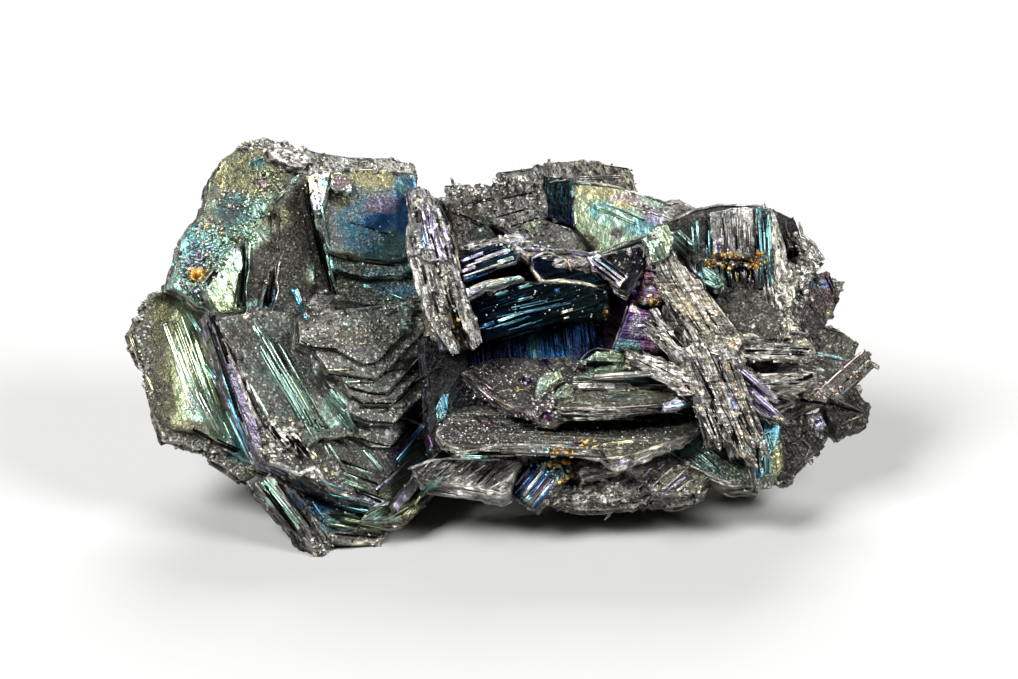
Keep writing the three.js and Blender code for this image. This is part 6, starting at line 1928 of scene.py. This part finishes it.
@dataclass
class FrontShelves(Group):
    """The shelves along the front, from the knife-shaped plate down to the rough foot."""

    name: str = "front_shelves"
    seed: int = 25
    chip_density: float = 0.7
    skins: str = """
    knife OLIVE,OLIVE 1,.1 .72 1 SILVER .6 .15 6 grain=1,.03 fibres=.95;
    tip LILAC,CYAN 1,0 .05 1.6 LILAC 1.2 .2 3 grain=.9,-.3 lined=.7;
    mint MINT,LEAF 1,0 .15 1.6 MINT 1.2 .3 2 grain=1,0 lined=.4;
    chunk MINT,LEAF 1,0 .65 1.2 LEAF .8 .2 3 grain=.6,-.8 lined=.1;
    fracture SILVER,LILAC 1,0 .4 .8 SILVER 1.2 .9 5 grain=.7,.6 broken=1;
    grainy SILVER,VIOLET 1,0 .85 .75 MAGENTA .5 .4 4;
    laths SILVER,OLIVE 1,0 .6 .8 SILVER 1 .35 4 grain=1,.05 lined=.8 fibres=.9;
    broad SILVER,STRAW 1,.2 .95 .85 SILVER 1.2 .35 3 grain=1,.05 fibres=.3;
    swirl SILVER,SILVER 1,0 .5 1.4 SILVER 1.4 .45 4 grain=.75,-.66 lined=.7 fibres=.6 broken=1;
    striped INDIGO,SILVER .3,1 .15 .16 SILVER .8 .25 4 grain=.64,-.77 lined=.9;
    foot SILVER,SILVER 1,0 .6 1.15 SILVER 1 1 8 grain=.8,-.5 broken=1;
    lens SILVER,OLIVE 1,0 .7 .95 SILVER 1.1 .6 5 2 .3,0 .16 .7,-.7 .5;
    block SILVER,SILVER 1,0 .3 1.2 SILVER 1.1 .3 4 grain=.98,-.2 lined=.9 fibres=.9 broken=1"""
    plates: str = """
    knife 6.6 .05,.78,.62 1.5 | 55.4,40.6 57,39.3 60,38.9 64,38.8 69.3,39.2 66.4,40 61.6,40.7 56.4,40.9;
    tip 7.2 .35,.5,.79 .8 | 66.2,40.1 67.2,39.7 69.2,39.2 69.3,40 67.8,40.7 66.2,41;
    mint 5.2 0,.5,.87 .6 | 57.6,36.3 58.7,35.5 59.6,35.1 61,35 62.3,35.4 62.2,36 58.7,36.1;
    mint 5.1 0,.6,.8 .6 | 57.3,37.7 58.6,37.1 60.4,36.5 62,36.2 63,36.6 62,37.1 59.6,37.6;
    laths 4.6 0,.7,.71 1.4 | 56.4,38.2 60,36.8 64,36 66,36.6 66,38.4 62,39 57,39;
    chunk 6 -.25,.4,.88 1.2 | 53.4,39.3 53.7,38 54.4,37.2 56,36.9 56.3,37.8 55.4,38.3 54.7,38.9 54.2,39.5 53.6,40.4;
    chunk 6.2 -.2,.4,.89 .9 | 55,39.9 55.7,38.8 56.6,38.1 57.4,39 56.4,39.8;
    fracture 6 -.2,.2,.96 1.4 | 53,39.6 54.4,39 55.6,40 56.2,41.4 55,42.2 53.6,42 52.4,40.8;
    grainy 3.8 -.1,.8,.59 1.4 | 46.3,37.2 49,35.8 57,35.6 60,37 58,39.4 53,40.8 50.4,40.4 48.6,39;
    broad 5 .04,.88,.47 1.1 | 43.6,42.9 45,41.4 46.5,40.4 52,39.8 60,40 68.5,40.8 70.4,42.2 68.5,43.6 64,45.2
      61.6,46.2 60,45 57,44.4 50,44.5 45.8,44.9 44.4,44;
    swirl 5.4 -.06,.5,.86 3 | 41,46.6 44,45.6 46,45.4 50,45.8 52.2,46.1 51.4,47.2 51,48.6 50,49.1 48,48.5 45,48.1
      42,47.7;
    striped 4.8 -.4,.35,.85 1.6 | 51.3,47.6 52.6,46.3 54.4,45.8 56,46.4 56,47.6 54.4,49.4 53.2,50.8 51.4,49.6 51,48.6;
    foot 3 .04,.12,.99 6 | 52,45.6 57.5,46 60,45 68,44.4 71.2,47 71.3,48.4 70.4,49.8 68,50.6 62,50.8 58,50.9 55.5,50.2
      53.2,49.6;
    foot 3.7 .04,.4,.92 1.2 | 55,48.4 58,48 60,48.2 62,47.6 65,47.6 66,49.6 60,50.4 55.6,49.8;
    block 4.8 .05,.3,.95 1.4 | 57.6,46.9 59.4,46.3 61.9,45.9 62.8,46.6 61.8,47.3 60,47.7 58.1,48.1;
    lens 4 .1,.45,.89 1.2 | 62.4,46.6 67.6,45 70.9,47.2 70.2,49 65.6,49.4;
    lens 4.4 .1,.45,.89 1 | 64.2,46.8 68,46 69.8,47.6 66.6,48.7"""
    tints: str = """
    42.4,46.9 1.8,1.2 SILVER .85 .5; 48,39 1.6,1 MAGENTA .6 .5; 52.6,38 .7,.4 VIOLET .2 1; 54.5,36.3 .6,.5 VIOLET .2
    1; 60.5,43 6,.5 SILVER .9 .5; 57.9,50 .6,1 SILVER .4 2; 64,39.4 2.6,.4 OLIVE .5 1.3; 62.2,46.1 .5,.5 LILAC .1 1.8;
    64.6,38 1.8,.6 CYAN .2 .2; 53.4,41.6 .6,.5 LILAC .1 1.4; 57.4,48.3 1.4,.4 SILVER .4 .1; 54.4,44.4 4,.7 SILVER .6
    1.7; 63.6,46.8 1,.8 SILVER .6 1.5"""
    # the near-black SILVER ribs are painted shadow lines along the shelves' edges
    growths: str = """
    edge .22,.2 PINK 2.2 0 .12 .15 | 56,40.7 60,40.75 64,40.5 66.2,40.3; edge .16,.14 light=2.6 lift=.2 ragged=.1 |
    57.4,37 58.2,35.8 58.8,35.2 59.6,34.8 61,35 62.4,35.3; edge .3,.35 STRAW 1.6 | 46.2,37.4 48.6,39.2 50.3,40.2
    51.4,40.8; edge .35,.3 light=1.8 | 48,44.8 50,44.4 53,44.3 57,44.4; edge .5,.4 STRAW 1.6 | 60,45.6 62,45.6 64,45
    67,44.1 69.8,43; edge .4,.35 light=1.4 | 44,42.6 43.8,43.4 44.8,44.4 46.6,44.8; edge .4,.3 light=1.9 | 41,46.8
    43,46 46,45.6 50,45.9; edge .3,.25 LILAC 2 0 .15 | 64.1,47.6 65.2,46.5; PINK 1.4 .25 4 | 46.4,37.6,49.6,40.2
    47.4,37.4,49.4,39; MAGENTA 1.6 .3 3 | 48.3,41.3,49.8,42.8 47.4,41.6,48.4,42.6 54.2,41.4,55,42; CYAN 2 .3 |
    50.2,41.5,51,43 50.9,41.5,51.7,43 45.5,45.3,48.5,45.5 47.2,45.9,49.6,46 66.4,41.2,68.6,41.4; LILAC 1.8 .2 |
    45.2,42.3,46.4,43.6 66.6,40.4,69,39.7 53.2,41.2,54,42; LEMON 2 .25 | 59,44.7,60,44.3 60,44.4,63.4,44
    40.4,51.6,41.4,50.6; ORANGE 1.6 .4 4 | 51.5,38.8,52,38.9 50.3,39.6,50.5,40.2; LEMON 1.7 1 6 | 60.4,45.2,62.4,45;
    SILVER .03 .4 5 | 44.8,45.2,52,45.3 52,45.2,54,45.6 52,42.6,60,42.7 59,42.8,66,42.4 58.2,36.4,61.4,36.3
    62.6,38.4,66.6,38.6 57,48.2,59,48.2 56,41.5,62,42.1 62,42.1,66,41.4; SILVER 1.4 .5 6 | 57,38.1,63,38.1
    57.4,38.6,61.6,38.6 59,37.6,65.4,37.2; SILVER 1.2 .8 12 .3 rib=.08,.2 worn=1 | 56,41,66,40.9 57,41.5,64,41.5; MINT
    .8 .3 | 60,39.6,64.6,39.5; BLUE 1.4 1.4 7 .5 rib=.06,.14 | 51.8,49.8,55,46.2 52.8,50.4,55.6,47; LILAC 1.6 1.2 5 .5
    rib=.05,.12 | 51.5,49,54,46.2 53.4,50,55.4,47.4; SILVER 2.6 .2 | 53.2,50.5,55.8,47.4 52.2,49.6,54.6,46.6; CYAN 2.2
    .3 | 52.6,50,53.2,49.4 55.6,47.7,56,48; SILVER 1.6 3 10 .4 rib=.06,.16 worn=1 | 43.4,47.6,45.4,45.8
    46.6,48,48.6,46 49,48.4,50.6,46.4; SILVER .04 2.6 3 .4 rib=.06,.14 | 44,47.7,46,45.9 47.4,48.2,49.4,46.2; SILVER
    1.6 .25 | 66,49,69,46.5 67.4,49.2,70,47.2 64.8,48.8,67.4,46.4; LILAC 1.2 .4 | 63.6,48.8,66.4,46.2
    65.8,49.4,68.6,47.4; flakes 49,42.8 5,1.6 320 SILVER 1.7 .05,.15 tilt=.6; flakes 60,43.6 7,1.2 260 SILVER 1.6
    .05,.14 tilt=.6; flakes 51,38.4 4.4,2 200 SILVER 1.6 .05,.14 tilt=.6; flakes 54.4,40.4 1.2,1.2 40 SILVER 1.9
    .08,.24 1 .8; flakes 55.8,38.2 1.8,1 10 LEAF .8 .06,.14 tilt=.7; flakes 62,49.4 8,1.3 300 SILVER 1.6 .07,.24 1 .8;
    flakes 55.4,46 1.8,1.5 40 CYAN 1.7 .1,.3 tilt=.9 lift=.12; flakes 54.8,46.4 1.8,1.6 36 BLUE 1 .1,.26 tilt=.9
    lift=.1; flakes 54.3,46.6 .3,.3 5 MINT 2.2 .15,.3 tilt=.8 lift=.1; flakes 57.7,44.3 .3,.3 6 VIOLET 1 .15,.3
    tilt=.8 lift=.1"""


@dataclass
class FarSide(Group):
    """The plates on the side away from the show side, each with a smaller plate with growth steps on it."""

    name: str = "far_side"
    seed: int = 26
    grain_density: float = 2.5
    thick: float = 2.2  # squares; the smaller plate is one square thick
    smaller: float = 0.7  # the smaller plate's share of the reach, and its rise in squares
    plates: str = """
        24,30,-12 -0.45,0.35,-0.82 9 10 0.92 LEAF,AZURE; 33,24,-13 -0.1,0.6,-0.79 10 35 0.85 CYAN,VIOLET;
        38,37,-17 0.1,0.05,-1 10.5 20 0.9 LEMON,CYAN; 28,42,-14 -0.45,-0.25,-0.86 8 0 0.95 MINT,BLUE;
        21.5,38,-8 -0.8,-0.1,-0.6 7 15 0.9 PINK,LEAF; 48,26,-14.5 0.15,0.5,-0.85 9.5 50 0.88 BLUE,MAGENTA;
        52,40,-18.5 -0.2,-0.1,-0.97 9.5 15 0.93 LILAC,MINT; 44,48,-19 0.1,-0.35,-0.93 8 40 0.85 CYAN,LEAF;
        60,30,-15.5 0.2,0.3,-0.93 10 5 0.86 LEAF,BLUE; 68,26,-12 0.3,0.5,-0.81 8.5 40 0.9 MINT,AZURE;
        64,42,-18 0.15,-0.2,-0.97 9 28 0.9 VIOLET,CYAN; 76,35,-11 0.55,0.1,-0.83 8 12 0.94 PINK,CYAN;
        73,44,-13 0.6,-0.3,-0.74 7.5 33 0.9 AZURE,LEMON"""

    def crystals(self) -> list[Crystal]:
        """Return the far plates: a row holds centre, facing, reach, spin, the shorter reach and the tarnish."""
        made = []
        for centre, facing, reach, spin, shorter, film in (row.values for row in rows(self.plates)):
            step = np.array(centre) + self.smaller * unit(np.array(facing, float)) * (1, -1, 1)
            lower = Skin(film, (1.0, 0.4), 0.6, 0.9, Tarnish.SILVER, 1.0, 0.5, 6)
            upper = Skin(film, (1.0, 0.4), 0.5, 0.95, Tarnish.LILAC, 0.9, 0.3, 3, steps=2, rise=0.15)
            made.append(hexagon(lower, centre, facing, self.thick, reach, spin, shorter))
            made.append(hexagon(upper, step, facing, 1, self.smaller * reach, spin, shorter))
        return made


@dataclass
class TopBooks(Group):
    """Books of plates that stand on edge along the top, behind the ridge."""

    name: str = "top_books"
    seed: int = 27
    plates: str = """
        29,20,-10 0.5,0.8,-0.3 1.6 6 20 0.9; 37,20.5,-10 -0.25,0.9,-0.35 1.6 6.5 45 0.85;
        43,21.5,-9.5 0.6,0.7,-0.35 1.4 5 10 0.9; 50,23,-9 -0.15,0.85,0.5 1.6 6 30 0.9;
        57,25,-9 0.4,0.85,0.3 1.4 5.5 5 0.9; 64,25.5,-7.5 -0.35,0.9,-0.2 1.6 6 25 0.85;
        72,24,-7 0.3,0.9,-0.3 1.6 6 50 0.9; 78,29,-7 0.75,0.6,-0.2 1.4 5.5 15 0.9"""

    def crystals(self) -> list[Crystal]:
        """Return the books: a row holds centre, facing, thickness, reach, spin and the shorter reach."""
        skin = Skin((Tarnish.SILVER, Tarnish.CYAN), (1.0, 0.0), 0.6, 0.8, Tarnish.SILVER, 1.0, 0.6, 6)
        return [hexagon(skin, *row.values) for row in rows(self.plates)]


@dataclass
class Roots:
    """The massive sulphide that the crystals grew from, down to the underside."""

    seed: int = 28
    lumps: str = """
        31,36,-8.5 12,11,7.5 0.4 SILVER; 49,36,-9 14,12,8.5 1.9 STRAW; 68,36,-6.5 12,11.5,8.5 3.1 SILVER;
        34,46,-9 6.5,7,6.5 1.2 STRAW; 37,44,-13 11,9.5,8 2.2 SILVER; 48,43,-13 10,10,8 0.3 SILVER;
        59,43,-11.5 15,10,8.5 0.9 STRAW"""

    def build(self, finishes: Finishes) -> bpy.types.Object:
        """Build the lumps as one piece."""
        rng = np.random.default_rng(self.seed)
        whole = Shell.joined([Lump(*row.values).shell(rng) for row in rows(self.lumps)])
        return mesh_piece("roots", whole, [finishes.face, finishes.edge])


@dataclass
class GoldGrains:
    """Small brassy grains that sit in the gaps between the crystals."""

    seed: int = 29
    growths: str = """
        flakes 19.8,27.6 0.6,0.4 16 0.3 0.9 0.3,0.55 0 0.5 0.2; flakes 56,45.5 1.4,1 46 0.3 1.2 0.14,0.4 0 1 0.14;
        flakes 58.6,44.3 1,0.4 12 0.3 1.2 0.1,0.28 0 1 0.1; flakes 56.6,47.8 0.8,0.4 10 0.3 1.2 0.12,0.34 0 1 0.1;
        flakes 73.6,26.1 3,0.8 90 0.7 0.8 0.1,0.28 0 1 0.1; flakes 60.6,31.4 0.3,0.5 6 0.2 1 0.1,0.25 0 1 0.1;
        flakes 45.7,32.8 0.3,1 12 0.2 1 0.1,0.25 0 1 0.1; flakes 65.5,30.4 0.5,0.5 12 0.1 0.8 0.1,0.28 0 1 0.1"""

    def build(self, finishes: Finishes, surface: Surface) -> bpy.types.Object:
        """Build the grains as one piece."""
        whole = Shell.joined(grown(self.growths, surface, np.random.default_rng(self.seed)))
        return mesh_piece("gold_grains", whole, [finishes.gold])


# ---- the studio


@dataclass(frozen=True)
class Lamp:
    """One square soft light: its direction from the specimen, its side in metres and its watts."""

    name: str
    toward: Triple
    side: float
    power: float


@dataclass(frozen=True)
class Studio:
    """A plain pale floor, soft lights and the camera."""

    view_centre: Pair = (50.9, 33.95)  # across and down on the sheet
    frame_width: float = 101.8  # squares
    focal_length: float = 200.0  # mm
    sensor: float = 36.0  # mm
    nearest: float = 0.01  # m
    floor_half: float = 1.5  # m
    floor_grey: tuple = (0.36, 0.36, 0.355, 1.0)
    lamp_distance: float = 1.2  # m
    lamp_aim: Triple = (0.0, 0.0, 0.012)  # m
    lamps: tuple[Lamp, ...] = (
        Lamp("key", (-0.5, -0.45, 0.75), 0.45, 26.0),
        Lamp("fill", (0.72, -0.35, 0.7), 0.45, 15.0),
        Lamp("back", (0.1, 0.75, 0.65), 0.60, 18.0))
    world_grey: tuple = (0.5, 0.5, 0.5, 1.0)
    world_strength: float = 0.10

    def add(self, name: str, data: bpy.types.ID) -> bpy.types.Object:
        """Put an object into the scene."""
        made = bpy.data.objects.new(name, data)
        bpy.context.scene.collection.objects.link(made)
        return made

    def floor(self) -> None:
        """Lay the floor under the specimen."""
        half = self.floor_half
        mesh = bpy.data.meshes.new("floor")
        mesh.from_pydata([(-half, -half, 0), (half, -half, 0), (half, half, 0), (-half, half, 0)], [], [(0, 1, 2, 3)])
        mesh.materials.append(Bench("floor_paint").finish(Base_Color=self.floor_grey, Roughness=0.9))
        self.add("floor", mesh)

    def hang(self, lamp: Lamp) -> None:
        """Hang one lamp, facing the specimen."""
        light = bpy.data.lights.new(lamp.name, "AREA")
        light.shape = "SQUARE"
        light.size = lamp.side
        light.energy = lamp.power
        away = unit(np.array(lamp.toward)) * self.lamp_distance
        hung = self.add(lamp.name, light)
        hung.location = away + self.lamp_aim
        pitch = np.arctan2(np.hypot(away[0], away[1]), away[2])
        hung.rotation_euler = (pitch, 0.0, np.arctan2(away[1], away[0]) + np.pi / 2)

    def lights(self) -> None:
        """Set the soft key light at the upper left, a fill at the right and a light from behind."""
        for lamp in self.lamps:
            self.hang(lamp)
        world = bpy.data.worlds.new("studio")
        world.use_nodes = True
        colour, strength = world.node_tree.nodes["Background"].inputs[:2]
        colour.default_value = self.world_grey
        strength.default_value = self.world_strength
        bpy.context.scene.world = world
        bpy.context.scene.view_settings.view_transform = "Standard"

    def camera(self) -> None:
        """Set the camera square to the drafting sheet, far enough for the frame's width."""
        lens = bpy.data.cameras.new("camera")
        lens.lens = self.focal_length
        lens.sensor_width = self.sensor
        lens.clip_start = self.nearest
        camera = self.add("camera", lens)
        distance = self.frame_width * self.focal_length / self.sensor
        camera.location = to_part(sheet_point(*self.view_centre, distance))
        camera.rotation_euler = (SHEET_TILT, 0.0, 0.0)
        bpy.context.scene.camera = camera


def main() -> None:
    """Load the frame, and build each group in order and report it."""
    logging.basicConfig(level=logging.INFO, format="%(message)s")
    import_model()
    finishes = Finishes()
    groups = [kind() for kind in (
        LeftWing, Terraces, Keel, UpperWall, BowlBlock, UprightBlade, CentreFan, Hollow, BackRidge, Splinters,
        SideArms, BoxCrystal, RightRim, LowerRight, FrontShelves, FarSide, TopBooks)]
    surface = Surface(Shell.joined([group.grow() for group in groups]))
    for group in groups:
        group.build(finishes, surface)
    Roots().build(finishes)
    GoldGrains().build(finishes, surface)
    studio = Studio()
    studio.floor()
    studio.lights()
    studio.camera()


if __name__ == "__main__":
    main()
